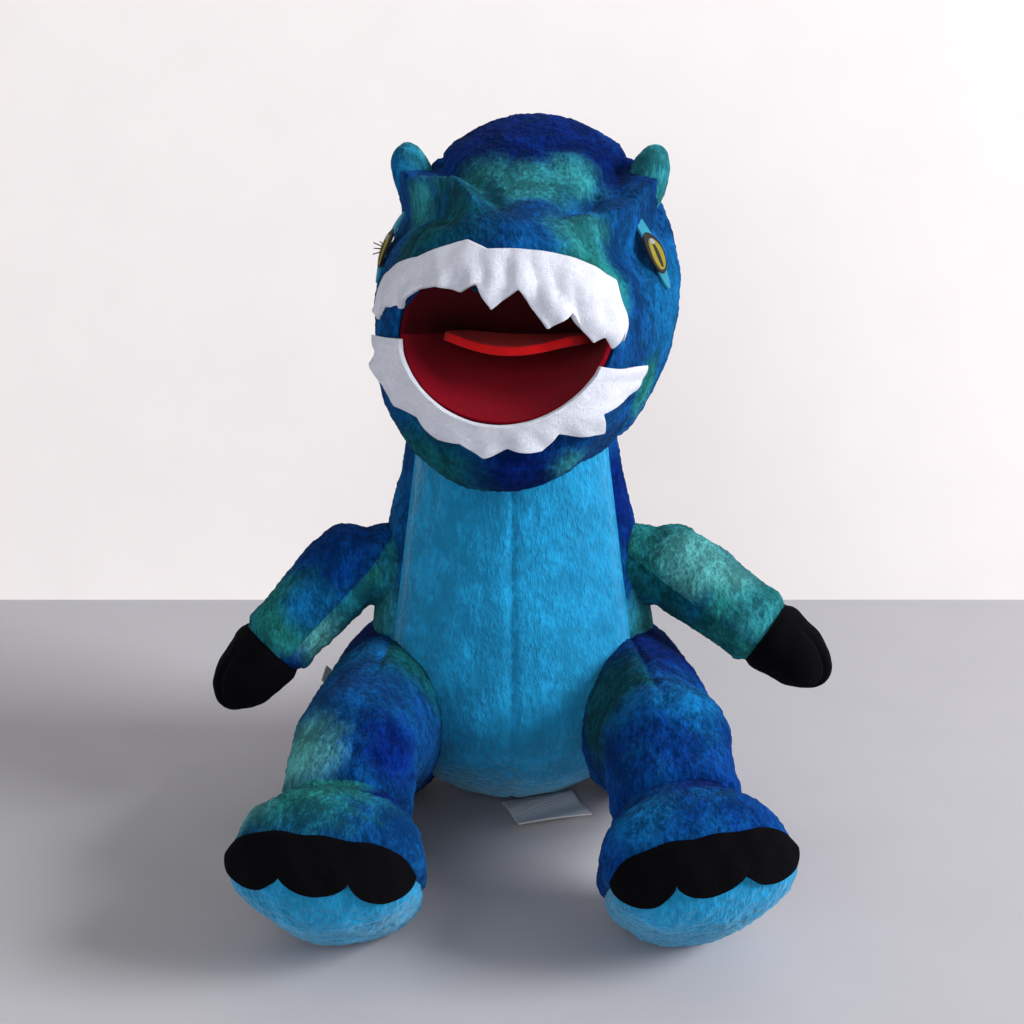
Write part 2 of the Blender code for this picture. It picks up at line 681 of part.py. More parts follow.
def main():
    clear_scene()
    toy = pivot("toy", None, (0, 0, 0))
    floor = box_cutter("floor_trim", toy, (0, 0, 0), (0, 0, -1))
    make_torso(toy)
    make_head(toy)
    for name, side in SIDES.items():
        make_arm(toy, name, side)
        make_leg(toy, floor, name, side)
    make_tail(toy, floor)
    make_labels(toy)


main()
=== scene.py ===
"""The stuffed dinosaur dressed for its photograph: plush forms, felt teeth and claws, stitched eyes."""

import functools
import math

import bmesh
import bpy
import numpy as np
from mathutils import Matrix, Vector, noise


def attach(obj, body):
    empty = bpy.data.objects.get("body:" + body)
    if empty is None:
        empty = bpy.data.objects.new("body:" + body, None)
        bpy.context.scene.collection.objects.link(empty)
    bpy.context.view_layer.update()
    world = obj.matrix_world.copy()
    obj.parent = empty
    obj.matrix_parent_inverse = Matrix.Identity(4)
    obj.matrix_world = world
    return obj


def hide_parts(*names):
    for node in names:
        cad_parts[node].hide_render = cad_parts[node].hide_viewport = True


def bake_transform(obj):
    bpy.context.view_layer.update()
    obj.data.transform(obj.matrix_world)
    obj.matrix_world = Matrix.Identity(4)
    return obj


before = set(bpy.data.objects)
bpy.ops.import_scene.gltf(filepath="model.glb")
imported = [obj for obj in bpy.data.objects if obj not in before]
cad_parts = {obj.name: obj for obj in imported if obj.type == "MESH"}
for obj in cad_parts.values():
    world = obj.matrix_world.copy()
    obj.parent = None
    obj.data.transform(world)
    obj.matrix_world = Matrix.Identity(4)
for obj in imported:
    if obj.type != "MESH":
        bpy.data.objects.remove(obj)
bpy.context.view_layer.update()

SIDES = {"left": 1, "right": -1}
FORWARD = Matrix.Rotation(math.pi / 2, 4, "X")

# Forms: distance along the form, an optional offset, and the half-sizes there
TORSO = (
    (-0.003, 0.001, 0.0320, 0.0302),
    (0.012, -0.001, 0.0352, 0.0324),
    (0.032, -0.001, 0.0362, 0.0330),
    (0.052, 0.001, 0.0348, 0.0305),
    (0.070, 0.003, 0.0314, 0.0269),
    (0.086, 0.004, 0.0270, 0.0246),
    (0.106, 0.004, 0.0250, 0.0230),
)
TORSO_CAPS = (0.036, 0.012)
HEAD = (
    (0.000, 0.040, 0.0322, 0.0367),
    (0.020, 0.040, 0.0350, 0.0414),
    (0.038, 0.037, 0.0357, 0.0402),
    (0.056, 0.0325, 0.0320, 0.0340),
    (0.074, 0.0305, 0.0272, 0.0304),
    (0.0903, 0.0298, 0.0244, 0.0292),
)
HEAD_CAPS = (0.030, 0.014)
HEAD_BACK = 0.032
HEAD_YAW = math.radians(-10)
HEAD_LEAN = 0.0044
NECK_HEIGHT = 0.0905
CREASE_FORWARD = 0.056
CREASE_HEIGHT = 0.0320
PALATE_RISE = math.radians(35)
JAW_DROP = math.radians(24)
TEETH_CENTRE = 0.060
ARM = (
    (-0.0120, 0.0098, 0.0098),
    (0.0000, 0.0103, 0.0103),
    (0.0130, 0.0102, 0.0099),
    (0.0260, 0.0097, 0.0089),
    (0.0350, 0.0094, 0.0079),
    (0.0443, 0.0085, 0.0063),
)
ARM_CAPS = (0.008, 0.009)
SHOULDER = (0.0420, -0.006, 0.0610)
ARM_FORWARD = math.radians(20)
ARM_DROOP = {"left": math.radians(32), "right": math.radians(44)}
WRIST = 0.0255
ARMPIT = (0.0310, -0.0020, 0.0612)   # where the sleeve's top enters the body
ARMPIT_RADIUS = 0.0108
THIGH = (
    (-0.0237, 0.0142, 0.0212),
    (-0.0040, 0.0158, 0.0233),
    (0.0140, 0.0159, 0.0208),
    (0.0320, 0.0153, 0.0173),
    (0.0520, 0.0143, 0.0143),
    (0.0663, 0.0143, 0.0143),
)
THIGH_CAPS = (0.016, 0.014)
HIP = (0.0300, -0.004, 0.0240)
LEG_SPLAY = math.radians(5)
LEG_RISE = math.radians(12.2)
ANKLE = 0.0520
FOOT = (
    (-0.0237, 0.0148, 0.0128),
    (-0.0120, 0.0171, 0.0153),
    (0.0020, 0.0188, 0.0161),
    (0.0140, 0.0193, 0.0148),
    (0.0237, 0.0183, 0.0128),
)
FOOT_CAPS = (0.013, 0.012)
FOOT_AHEAD = 0.0100
FOOT_BELOW = 0.0266
FOOT_PITCH = math.radians(36)
TOE_OUT = math.radians(5)
SOLE_HEIGHT = -0.0030
SOLE_SWELL = 0.0011
ANKLE_PINCH = 0.0020
ANKLE_SEAM = 0.0160
ANKLE_BALLS = ((0.30, 0.0146), (0.60, 0.0160))   # share of the way to the foot's middle, and radius
TAIL = (
    (-0.0165, 0.0166, 0.0166),
    (0.0000, 0.0167, 0.0167),
    (0.0200, 0.0152, 0.0147),
    (0.0400, 0.0122, 0.0117),
    (0.0580, 0.0087, 0.0084),
    (0.0722, 0.0063, 0.0061),
)
TAIL_CAPS = (0.0165, 0.008)
TAIL_ROOT = (0.0, 0.033, 0.0159)
TAIL_DIP = math.radians(6.5)

# Cloth
BELLY_SEAM_X = 0.0285     # at the belly's middle height; the seams lean together upwards
BELLY_MIDDLE = 0.050
BELLY_LEAN = 0.12
GUSSET_SEAM_X = 0.0185
TUCK = 0.0030            # the belly's front edge is sewn up off the surface
TUCK_HEIGHT = 0.016      # the tuck fades out by this height
TUCK_START = 0.004       # and starts this far forward
TUCK_RUN = 0.008
BROW_HEIGHT = 0.0050
BROW_CREASE = 0.0016
SEAM_WIDTH = 0.0010
SEAM_DEPTH = 0.0008
FELT = 0.0012
PROFILE_STEPS = 600
NAP_STEP = 0.0009        # spacing of the points on a melted form
NAP_SIZE = 0.0011        # spacing and height of the tufts of pile
NAP_HEIGHT = 0.00028


def srgb(red, green, blue):
    """A colour given 0 to 255, as linear values."""
    shares = (red / 255, green / 255, blue / 255)
    return tuple(((c + 0.055) / 1.055) ** 2.4 if c > 0.04045 else c / 12.92 for c in shares)


NAVY = srgb(3, 34, 110)
ROYAL = srgb(7, 60, 136)
BLUE = srgb(10, 68, 132)
SKY = srgb(16, 104, 164)
TEAL = srgb(46, 134, 144)
FOAM = srgb(84, 164, 166)
SEA_GREEN = srgb(34, 122, 122)
DEEP_GREEN = srgb(14, 84, 94)
BELLY = srgb(28, 146, 200)
BLACK = srgb(9, 9, 13)
WHITE = srgb(214, 217, 230)
CRIMSON = srgb(132, 8, 28)
# The mouth's red lining darkened for the palate, which faces down: painted shade
LINING_RED_PAINTED_SHADE = srgb(76, 6, 16)
TONGUE_RED = srgb(204, 24, 28)
YELLOW = srgb(214, 196, 34)
CYAN = srgb(40, 200, 245)
SATIN = srgb(232, 232, 230)


# Soft forms


@functools.cache
def profile(stations, caps):
    """Close-set sections of a form, on a smooth curve through its stations: distances, offsets and
    half-sizes. Each end is rounded over its cap."""
    table = np.array(stations, float)
    places = table[:, 0]
    last = len(places) - 1
    turn = np.linspace(0, math.pi, PROFILE_STEPS)
    distances = places[0] + (places[-1] - places[0]) * (1 - np.cos(turn)) / 2
    index = np.clip(np.searchsorted(places, distances) - 1, 0, last - 1)
    before, start, end, after = (table[np.clip(index + step, 0, last), 1:] for step in (-1, 0, 1, 2))
    share = ((distances - places[index]) / (places[index + 1] - places[index]))[:, None]
    rise = (end - before) / 2
    fall = (after - start) / 2
    values = (
        start * (1 + share**2 * (2 * share - 3))
        + end * share**2 * (3 - 2 * share)
        + rise * share * (1 - share) ** 2
        + fall * share**2 * (share - 1)
    )
    rounding = np.ones_like(distances)
    for from_end, cap in ((distances - places[0], caps[0]), (places[-1] - distances, caps[1])):
        short = np.maximum(0, 1 - from_end / cap)
        rounding *= np.sqrt(np.maximum(0, 1 - short**2))
    offsets = values[:, 0] if values.shape[1] == 3 else np.zeros_like(distances)
    return distances, offsets, values[:, -2] * rounding, values[:, -1] * rounding


def section(stations, caps, distance):
    """Offset and half-sizes of a form at a distance along it."""
    distances, *values = profile(stations, caps)
    return [np.interp(distance, distances, value) for value in values]


def stuffed(stations, caps, place, sides=112, rings=88):
    """A ball drawn out through the stations and put in place in the row frame."""
    bm = bmesh.new()
    bmesh.ops.create_uvsphere(bm, u_segments=sides, v_segments=rings, radius=1.0)
    low, high = stations[0][0], stations[-1][0]
    points = np.array([vert.co for vert in bm.verts])
    polar = np.arccos(np.clip(points[:, 2], -1, 1))
    share = 0.5 * (1 - polar / math.pi) + 0.25 * (points[:, 2] + 1)
    distance = low + (high - low) * np.clip(share, 0, 1)
    offset, half_x, half_y = section(stations, caps, distance)
    around = np.maximum(np.hypot(points[:, 0], points[:, 1]), 1e-6)
    across = points[:, 0] / around * half_x
    up = points[:, 1] / around * half_y + offset
    for vert, spot in zip(bm.verts, np.column_stack((across, up, distance))):
        vert.co = spot
    bm.transform(place)
    bm.normal_update()
    return bm


def surface_reach(stations, caps, centre, azimuth, height_at):
    """Distances from a form's upright axis to its surface, at each angle and at height_at(forward)."""
    near = np.zeros_like(azimuth)
    far = np.full_like(azimuth, 0.1)
    for _ in range(30):
        middle = (near + far) / 2
        forward = centre + middle * np.cos(azimuth)
        offset, half_x, half_y = section(stations, caps, forward)
        beyond = (middle * np.sin(azimuth) / np.maximum(half_x, 1e-5)) ** 2
        beyond += ((height_at(forward) - offset) / np.maximum(half_y, 1e-5)) ** 2
        inside = (beyond < 1) & (forward > stations[0][0]) & (forward < stations[-1][0])
        near = np.where(inside, middle, near)
        far = np.where(inside, far, middle)
    return near


def sheet_grid(columns, rows):
    """A flat grid and its points' places across and up, from -1 to 1."""
    bm = bmesh.new()
    bmesh.ops.create_grid(bm, x_segments=columns, y_segments=rows, size=1.0)
    points = np.array([vert.co for vert in bm.verts])
    return bm, points[:, 0], points[:, 1]


def move_grid(bm, place, x, y, z):
    for vert, spot in zip(bm.verts, np.column_stack((x, y, z))):
        vert.co = place @ Vector(spot)
    bm.normal_update()


def ripple(across, up, size):
    """Uneven waves in a sheet of felt."""
    return np.array([noise.noise(Vector((a, u, 0.3)) * size) for a, u in zip(across, up)])


def push(bm, amount):
    """Moves each point along its normal by amount(place, normal)."""
    bm.normal_update()
    moves = [(vert, vert.normal * amount(vert.co, vert.normal)) for vert in bm.verts]
    for vert, move in moves:
        vert.co += move
    bm.normal_update()


def lumps(place, size, depth, seed):
    """Uneven filling under the cloth."""
    spot = Vector(place) / size + Vector((seed, seed * 1.7, seed * 0.3))
    return depth * (noise.noise(spot) + 0.5 * noise.noise(spot * 2.3) + 0.25 * noise.noise(spot * 5.1))


def groove(distance, width=SEAM_WIDTH, depth=SEAM_DEPTH):
    """A stitched seam pulls the cloth in, and the cloth swells on both sides of it."""
    pull = math.exp(-((distance / width) ** 2))
    swell = math.exp(-(((abs(distance) - 3 * width) / (2.2 * width)) ** 2))
    return -depth * pull + 0.35 * depth * swell


def line_distance(place, start, end):
    """Distance from a place to a straight line between two points, and the share along it."""
    along = end - start
    share = max(0.0, min(1.0, (place - start).dot(along) / along.length_squared))
    return (place - start - along * share).length, share


def flatten_below(bm, height=0.0003):
    for vert in bm.verts:
        vert.co.z = max(vert.co.z, height)


def cut_along(bm, point, normal, clear=False):
    """Cuts a form along a seam's plane. Both sides stay, unless the one behind the normal is cleared."""
    geometry = bm.verts[:] + bm.edges[:] + bm.faces[:]
    bmesh.ops.bisect_plane(bm, geom=geometry, plane_co=point, plane_no=normal, clear_inner=clear)


def keep_side(bm, point, normal):
    """Cuts a form along a seam's plane and keeps the side that the normal points to."""
    cut_along(bm, point, normal, clear=True)


def brush(bm):
    """Raises the pile: a finer mesh with small tufts."""
    bmesh.ops.subdivide_edges(bm, edges=bm.edges[:], cuts=1, use_grid_fill=True)

    def tufts(place, normal):
        spot = place / NAP_SIZE
        return NAP_HEIGHT * (noise.noise(spot) + 0.6 * noise.noise(spot * 0.4))

    push(bm, tufts)


def finish_mesh(name, bm, material):
    mesh = bpy.data.meshes.new(name)
    bm.to_mesh(mesh)
    bm.free()
    mesh.shade_smooth()
    mesh.materials.append(material)
    obj = bpy.data.objects.new(name, mesh)
    bpy.context.scene.collection.objects.link(obj)
    return obj


def settle(obj):
    """Applies the piece's modifiers."""
    graph = bpy.context.evaluated_depsgraph_get()
    mesh = bpy.data.meshes.new_from_object(obj.evaluated_get(graph))
    obj.modifiers.clear()
    obj.data = mesh
    mesh.shade_smooth()
    return obj


def thicken(obj, thickness, offset=0.0):
    wall = obj.modifiers.new("thickness", "SOLIDIFY")
    wall.thickness = thickness
    wall.offset = offset
    edge = obj.modifiers.new("edge", "BEVEL")
    edge.width = thickness * 0.35
    edge.segments = 2
    edge.limit_method = "ANGLE"
    edge.angle_limit = math.radians(60)
    return settle(obj)


def melt(bm, size, passes):
    """Joins overlapping forms into one skin with soft hollows between them."""
    piece = finish_mesh("melted", bm, None)
    even = piece.modifiers.new("even", "REMESH")
    even.mode = "VOXEL"
    even.voxel_size = size
    soft = piece.modifiers.new("soft", "SMOOTH")
    soft.factor = 0.5
    soft.iterations = passes
    settle(piece)
    bm = bmesh.new()
    bm.from_mesh(piece.data)
    bpy.data.objects.remove(piece)
    return bm


def add_ball(bm, centre, radius):
    bmesh.ops.create_icosphere(bm, subdivisions=4, radius=radius, matrix=Matrix.Translation(centre))


def aim(direction):
    """Rotation that turns +Z to a direction and keeps +Y upwards."""
    return Vector(direction).to_track_quat("Z", "Y").to_matrix()


def put(location, turn):
    return Matrix.Translation(location) @ turn.to_4x4()


def mirrored(place, side):
    return Vector((side * place[0], *place[1:]))


HEAD_PLACE = Matrix.Translation((HEAD_LEAN, 0, NECK_HEIGHT)) @ Matrix.Rotation(HEAD_YAW, 4, "Z")
HEAD_FORM = HEAD_PLACE @ Matrix.Translation((0, HEAD_BACK, 0)) @ FORWARD
HEAD_INVERSE = HEAD_PLACE.inverted()


def head_point(x, forward, height):
    return HEAD_PLACE @ Vector((x, HEAD_BACK - forward, height))


# Node groups

VECTOR = "NodeSocketVector"
COLOUR = "NodeSocketColor"
NUMBER = "NodeSocketFloat"


def new_group(name, inputs, outputs):
    group = bpy.data.node_groups.new(name, "ShaderNodeTree")
    for label, kind, value in inputs:
        socket = group.interface.new_socket(label, in_out="INPUT", socket_type=kind)
        if value is not None:
            socket.default_value = value
    for label, kind in outputs:
        group.interface.new_socket(label, in_out="OUTPUT", socket_type=kind)
    return group, group.nodes.new("NodeGroupInput"), group.nodes.new("NodeGroupOutput")


def math_node(tree, operation, first, second):
    node = tree.nodes.new("ShaderNodeMath")
    node.operation = operation
    for socket, value in zip(node.inputs, (first, second)):
        feed(tree, socket, value)
    return node.outputs[0]


def weighted(tree, first, share, second, other_share):
    """The sum of two values, each times its share."""
    return math_node(
        tree,
        "ADD",
        math_node(tree, "MULTIPLY", first, share),
        math_node(tree, "MULTIPLY", second, other_share),
    )


def vector_node(tree, operation, first, second):
    node = tree.nodes.new("ShaderNodeVectorMath")
    node.operation = operation
    tree.links.new(first, node.inputs[0])
    tree.links.new(second, node.inputs["Scale"] if operation == "SCALE" else node.inputs[1])
    return node.outputs["Value"] if operation in ("DISTANCE", "DOT_PRODUCT") else node.outputs[0]


def ramp(tree, value, start, end, kind="SMOOTHSTEP"):
    """Rises from 0 at the start to 1 at the end."""
    node = tree.nodes.new("ShaderNodeMapRange")
    node.interpolation_type = kind
    node.inputs["From Min"].default_value = start
    node.inputs["From Max"].default_value = end
    tree.links.new(value, node.inputs["Value"])
    return node.outputs[0]


def noise_node(tree, vector, scale, detail=2.0, distortion=0.0, roughness=0.5):
    node = tree.nodes.new("ShaderNodeTexNoise")
    node.inputs["Scale"].default_value = scale
    node.inputs["Detail"].default_value = detail
    node.inputs["Distortion"].default_value = distortion
    node.inputs["Roughness"].default_value = roughness
    tree.links.new(vector, node.inputs["Vector"])
    return node


def feed(tree, socket, value):
    """Sets a socket to a colour or a number, or links another socket to it."""
    if isinstance(value, tuple):
        socket.default_value = (*value, 1.0)
    elif isinstance(value, (int, float)):
        socket.default_value = value
    else:
        tree.links.new(value, socket)


def mix_colour(tree, mask, first, second):
    node = tree.nodes.new("ShaderNodeMix")
    node.data_type = "RGBA"
    sockets = [socket for socket in node.inputs if socket.enabled]
    for socket, value in zip(sockets, (mask, first, second)):
        feed(tree, socket, value)
    return next(socket for socket in node.outputs if socket.enabled)


def use_group(tree, name, **values):
    """A node of one of the groups, with its named sockets set or linked."""
    node = tree.nodes.new("ShaderNodeGroup")
    node.node_tree = GROUPS[name]
    for label, value in values.items():
        feed(tree, node.inputs[label], value)
    return node


def pile_group():
    """Short pile: fine fibres that lie one way, in brushed clumps. Tone is where it catches light."""
    group, given, made = new_group(
        "pile",
        (("Place", VECTOR, None), ("Fineness", NUMBER, 1.0)),
        (("Tone", NUMBER), ("Height", NUMBER)),
    )
    links = group.links
    scaled = vector_node(group, "SCALE", given.outputs["Place"], given.outputs["Fineness"])
    lay = group.nodes.new("ShaderNodeMapping")
    lay.inputs["Scale"].default_value = (1.0, 0.8, 0.42)
    links.new(scaled, lay.inputs["Vector"])
    fibres = noise_node(group, lay.outputs[0], 1500, 3.0, 0.4, 0.65).outputs["Fac"]
    clumps = noise_node(group, lay.outputs[0], 330, 3.0, 1.2, 0.6).outputs["Fac"]
    brushed = noise_node(group, scaled, 75, 2.0, 1.5).outputs["Fac"]
    height = weighted(group, fibres, 0.6, clumps, 0.55)
    links.new(height, made.inputs["Height"])
    mixed = weighted(group, height, 0.75, brushed, 0.42)
    links.new(ramp(group, mixed, 0.58, 0.92, "LINEAR"), made.inputs["Tone"])
    return group


def dye_group():
    """How much of a dye has reached a place: full at a spot's centre, with a feathered edge."""
    group, given, made = new_group(
        "dye_spot",
        (
            ("Place", VECTOR, None),
            ("Centre", VECTOR, None),
            ("Radius", NUMBER, 0.01),
        ),
        (("Mask", NUMBER),),
    )
    apart = vector_node(group, "DISTANCE", given.outputs["Place"], given.outputs["Centre"])
    share = math_node(group, "DIVIDE", apart, given.outputs["Radius"])
    feather = noise_node(group, given.outputs["Place"], 130, 4.0, 1.0, 0.6).outputs["Fac"]
    spread = math_node(group, "ADD", share, math_node(group, "MULTIPLY", feather, 0.9))
    group.links.new(ramp(group, spread, 1.75, 0.85), made.inputs["Mask"])
    return group


def panel_group():
    """Which side of a seam's plane a place is on."""
    group, given, made = new_group(
        "panel_side",
        (("Place", VECTOR, None), ("Seam", VECTOR, None), ("Across", VECTOR, None)),
        (("Mask", NUMBER),),
    )
    apart = vector_node(group, "SUBTRACT", given.outputs["Place"], given.outputs["Seam"])
    beyond = vector_node(group, "DOT_PRODUCT", apart, given.outputs["Across"])
    group.links.new(math_node(group, "GREATER_THAN", beyond, 0.0), made.inputs["Mask"])
    return group


def ground_group():
    """The cloth's first dye, mottled with a lighter one."""
    group, given, made = new_group(
        "dye_ground",
        (("Place", VECTOR, None), ("Dye", COLOUR, None), ("Lighter", COLOUR, None)),
        (("Colour", COLOUR),),
    )
    mottle = noise_node(group, given.outputs["Place"], 55, 3.0, 1.2, 0.6).outputs["Fac"]
    streak = ramp(group, mottle, 0.42, 0.66)
    colour = mix_colour(group, streak, given.outputs["Dye"], given.outputs["Lighter"])
    group.links.new(colour, made.inputs["Colour"])
    return group


def shading_group():
    """Darkens a colour between the fibres and lightens it on their tips."""
    group, given, made = new_group(
        "fibre_shading",
        (("Colour", COLOUR, None), ("Tone", NUMBER, 0.5)),
        (("Colour", COLOUR),),
    )
    level = group.nodes.new("ShaderNodeMapRange")
    level.inputs["To Min"].default_value = 0.42
    level.inputs["To Max"].default_value = 1.65
    group.links.new(given.outputs["Tone"], level.inputs["Value"])
    scaled = vector_node(group, "SCALE", given.outputs["Colour"], level.outputs[0])
    group.links.new(scaled, made.inputs["Colour"])
    return group


def grain_group():
    """The faint grain of painted board."""
    group, given, made = new_group(
        "board_grain",
        (("Place", VECTOR, None), ("Dark", COLOUR, None), ("Pale", COLOUR, None)),
        (("Colour", COLOUR),),
    )
    grain = noise_node(group, given.outputs["Place"], 40, 4.0).outputs["Fac"]
    colour = mix_colour(group, grain, given.outputs["Dark"], given.outputs["Pale"])
    group.links.new(colour, made.inputs["Colour"])
    return group


def felt_group():
    """Pressed felt: matted short fibres with no lay."""
    group, given, made = new_group(
        "felt",
        (("Place", VECTOR, None),),
        (("Tone", NUMBER), ("Height", NUMBER)),
    )
    matted = noise_node(group, given.outputs["Place"], 900, 5.0, 2.2, 0.7).outputs["Fac"]
    patches = noise_node(group, given.outputs["Place"], 140, 3.0, 0.5).outputs["Fac"]
    group.links.new(matted, made.inputs["Height"])
    group.links.new(weighted(group, matted, 0.6, patches, 0.4), made.inputs["Tone"])
    return group


def stitch_group():
    """Satin stitch: close parallel threads. Its tone is painted shade between the threads and painted
    highlight on them.
    """
    group, given, made = new_group(
        "satin_stitch",
        (("Place", VECTOR, None), ("Threads", NUMBER, 2600.0)),
        (("Tone", NUMBER), ("Height", NUMBER)),
    )
    wave = group.nodes.new("ShaderNodeTexWave")
    wave.bands_direction = "Z"
    wave.inputs["Distortion"].default_value = 1.5
    wave.inputs["Detail"].default_value = 1.0
    group.links.new(given.outputs["Place"], wave.inputs["Vector"])
    group.links.new(given.outputs["Threads"], wave.inputs["Scale"])
    group.links.new(wave.outputs["Fac"], made.inputs["Height"])
    uneven = noise_node(group, given.outputs["Place"], 700, 2.0).outputs["Fac"]
    group.links.new(weighted(group, wave.outputs["Fac"], 0.6, uneven, 0.4), made.inputs["Tone"])
    return group


GROUPS = {
    "pile": pile_group(),
    "dye": dye_group(),
    "panel": panel_group(),
    "ground": ground_group(),
    "shading": shading_group(),
    "felt": felt_group(),
    "stitch": stitch_group(),
    "grain": grain_group(),
}


# Materials


def shade(colour, factor):
    return tuple(min(1.0, c * factor) for c in colour)


def cloth(name, surface, colour_of, bump, roughness=0.95, sheen=0.35, sheen_tint=(1.0, 1.0, 1.0), **values):
    """A cloth material. colour_of(tree, place, tone) gives its colour socket."""
    made = bpy.data.materials.new(name)
    made.use_nodes = True
    tree = made.node_tree
    shader = tree.nodes["Principled BSDF"]
    place = tree.nodes.new("ShaderNodeTexCoord").outputs["Object"]
    texture = use_group(tree, surface, Place=place, **values)
    colour = colour_of(tree, place, texture.outputs["Tone"])
    tree.links.new(colour, shader.inputs["Base Color"])
    relief = tree.nodes.new("ShaderNodeBump")
    relief.inputs["Strength"].default_value = 1.0
    relief.inputs["Distance"].default_value = bump
    tree.links.new(texture.outputs["Height"], relief.inputs["Height"])
    tree.links.new(relief.outputs[0], shader.inputs["Normal"])
    shader.inputs["Roughness"].default_value = roughness
    shader.inputs["Specular IOR Level"].default_value = 0.02
    shader.inputs["Sheen Weight"].default_value = sheen
    shader.inputs["Sheen Roughness"].default_value = 0.45
    shader.inputs["Sheen Tint"].default_value = (*sheen_tint, 1.0)
    return made


def two_tone(low, high):
    def colour_of(tree, place, tone):
        return mix_colour(tree, tone, low, high)

    return colour_of


def dyed(tree, place, base, spots):
    """Plush with spots of other dye. Each spot is a colour, a centre in the row frame and a radius."""
    lighter = tuple(0.6 * a + 0.4 * b for a, b in zip(base, SKY))
    colour = use_group(tree, "ground", Place=place, Dye=base, Lighter=lighter).outputs["Colour"]
    for dye, centre, radius in spots:
        spot = use_group(tree, "dye", Place=place, Radius=radius)
        spot.inputs["Centre"].default_value = centre
        colour = mix_colour(tree, spot.outputs["Mask"], colour, dye)
    return colour


def tie_dye(base, spots, panel=None):
    """A dyed cloth, and past a seam's plane another. A panel is a point, a normal, a base and spots."""

    def colour_of(tree, place, tone):
        colour = dyed(tree, place, base, spots)
        if panel:
            seam, across, panel_base, panel_spots = panel
            side = use_group(tree, "panel", Place=place)
            side.inputs["Seam"].default_value = seam
            side.inputs["Across"].default_value = across
            other = dyed(tree, place, panel_base, panel_spots)
            colour = mix_colour(tree, side.outputs["Mask"], colour, other)
        return use_group(tree, "shading", Colour=colour, Tone=tone).outputs["Colour"]

    return colour_of


def plush(name, base, spots, panel=None):
    return cloth(name, "pile", tie_dye(base, spots, panel), 0.0009, sheen=0.03, sheen_tint=(0.4, 0.7, 0.85))


def felt(name, colour, sheen=0.15):
    return cloth(name, "felt", two_tone(shade(colour, 0.62), shade(colour, 1.2)), 0.0004, sheen=sheen)


def thread(name, colour):
    # Thread colour by the stitch's tone: painted shade between threads, painted highlight on them
    return cloth(name, "stitch", two_tone(shade(colour, 0.6), shade(colour, 1.15)), 0.0002, 0.5, 0.1)


MATERIALS = {
    "black_felt": felt("black_felt", BLACK, 0.01),
    # The palate's felt: the lining's red darkened as painted shade
    "palate_felt_painted_shade": felt("palate_felt_painted_shade", LINING_RED_PAINTED_SHADE, 0.02),
    "sole_plush": cloth("sole_plush", "pile", two_tone(shade(BELLY, 0.6), shade(BELLY, 1.2)), 0.0008,
                        sheen=0.35, sheen_tint=(0.6, 0.9, 1.0)),
    "satin": cloth("label_satin", "stitch", two_tone(shade(SATIN, 0.85), SATIN), 0.00008, 0.35, 0.05),
}


# Torso


def beyond_belly(place):
    """How far a place lies outside the belly's side seam."""
    return abs(place.x) + BELLY_LEAN * (place.z - BELLY_MIDDLE) - BELLY_SEAM_X


def torso_form():
    bm = stuffed(TORSO, TORSO_CAPS, Matrix.Identity(4), 128, 112)

    def amount(place, normal):
        move = lumps(place, 0.022, 0.0007, 3.1)
        if place.y < 0:
            move += groove(place.x, 0.0008, 0.0005)
            move += groove(beyond_belly(place))
        return move

    push(bm, amount)
    brush(bm)
    flatten_below(bm)
    for vert in bm.verts:
        low = max(0.0, 1 - vert.co.z / TUCK_HEIGHT)
        front = min(1.0, max(0.0, (-vert.co.y - TUCK_START) / TUCK_RUN))
        vert.co.z += TUCK * low * front
    return bm


def make_torso():
    belly = cloth("belly_plush", "pile", two_tone(shade(BELLY, 0.62), shade(BELLY, 1.22)), 0.0009,
                  sheen=0.45, sheen_tint=(0.6, 0.9, 1.0), Fineness=0.8)
    back_spots = (
        (TEAL, (-0.034, -0.008, 0.052), 0.012),
        (TEAL, (0.034, -0.006, 0.046), 0.014),
        (NAVY, (0.028, -0.008, 0.080), 0.014),
        (SKY, (-0.028, 0.010, 0.075), 0.016),
        (TEAL, (0.010, 0.030, 0.060), 0.016),
        (NAVY, (-0.014, 0.030, 0.035), 0.018),
        (SEA_GREEN, (-0.022, 0.024, 0.020), 0.012),
    )
    back_cloth = plush("back_plush", BLUE, back_spots)
    for name, side in SIDES.items():
        bm = torso_form()
        keep_side(bm, (0, 0, 0), (side, 0, 0))
        keep_side(bm, (side * BELLY_SEAM_X, 0, BELLY_MIDDLE), (-side, 0, -BELLY_LEAN))
        keep_side(bm, (0, 0, 0), (0, -1, 0))
        piece = finish_mesh(f"belly_{name}", bm, belly)
        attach(piece, "torso")
        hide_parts(f"belly_panel_{name}")
    bm = torso_form()
    cut_along(bm, (0, 0, 0), (0, -1, 0))
    for side in SIDES.values():
        cut_along(bm, (side * BELLY_SEAM_X, 0, BELLY_MIDDLE), (side, 0, BELLY_LEAN))
    middles = [(face, face.calc_center_median()) for face in bm.faces]
    front = [face for face, middle in middles if middle.y < 0 and beyond_belly(middle) < 0]
    bmesh.ops.delete(bm, geom=front, context="FACES")
    back = finish_mesh("back", bm, back_cloth)
    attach(back, "torso")
    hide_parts("back_panel", "torso_filling")


# Head


MOUTH_REACH = 0.045
MOUTH_BACK_HALF = 0.0175
MOUTH_FRONT_HALF = 0.0262
MOUTH_SHIFT = 0.0034     # the mouth is sewn a little to one side
CREASE_THICKNESS = 0.0006


def mouth_section(ahead):
    """The mouth's oval at a distance ahead of its crease: half-width, middle height and half-height."""
    half_width = MOUTH_BACK_HALF + (MOUTH_FRONT_HALF - MOUTH_BACK_HALF) * ahead / MOUTH_REACH
    top = ahead * math.tan(PALATE_RISE) + CREASE_THICKNESS
    bottom = -ahead * math.tan(JAW_DROP) - CREASE_THICKNESS
    return half_width, CREASE_HEIGHT + (top + bottom) / 2, (top - bottom) / 2


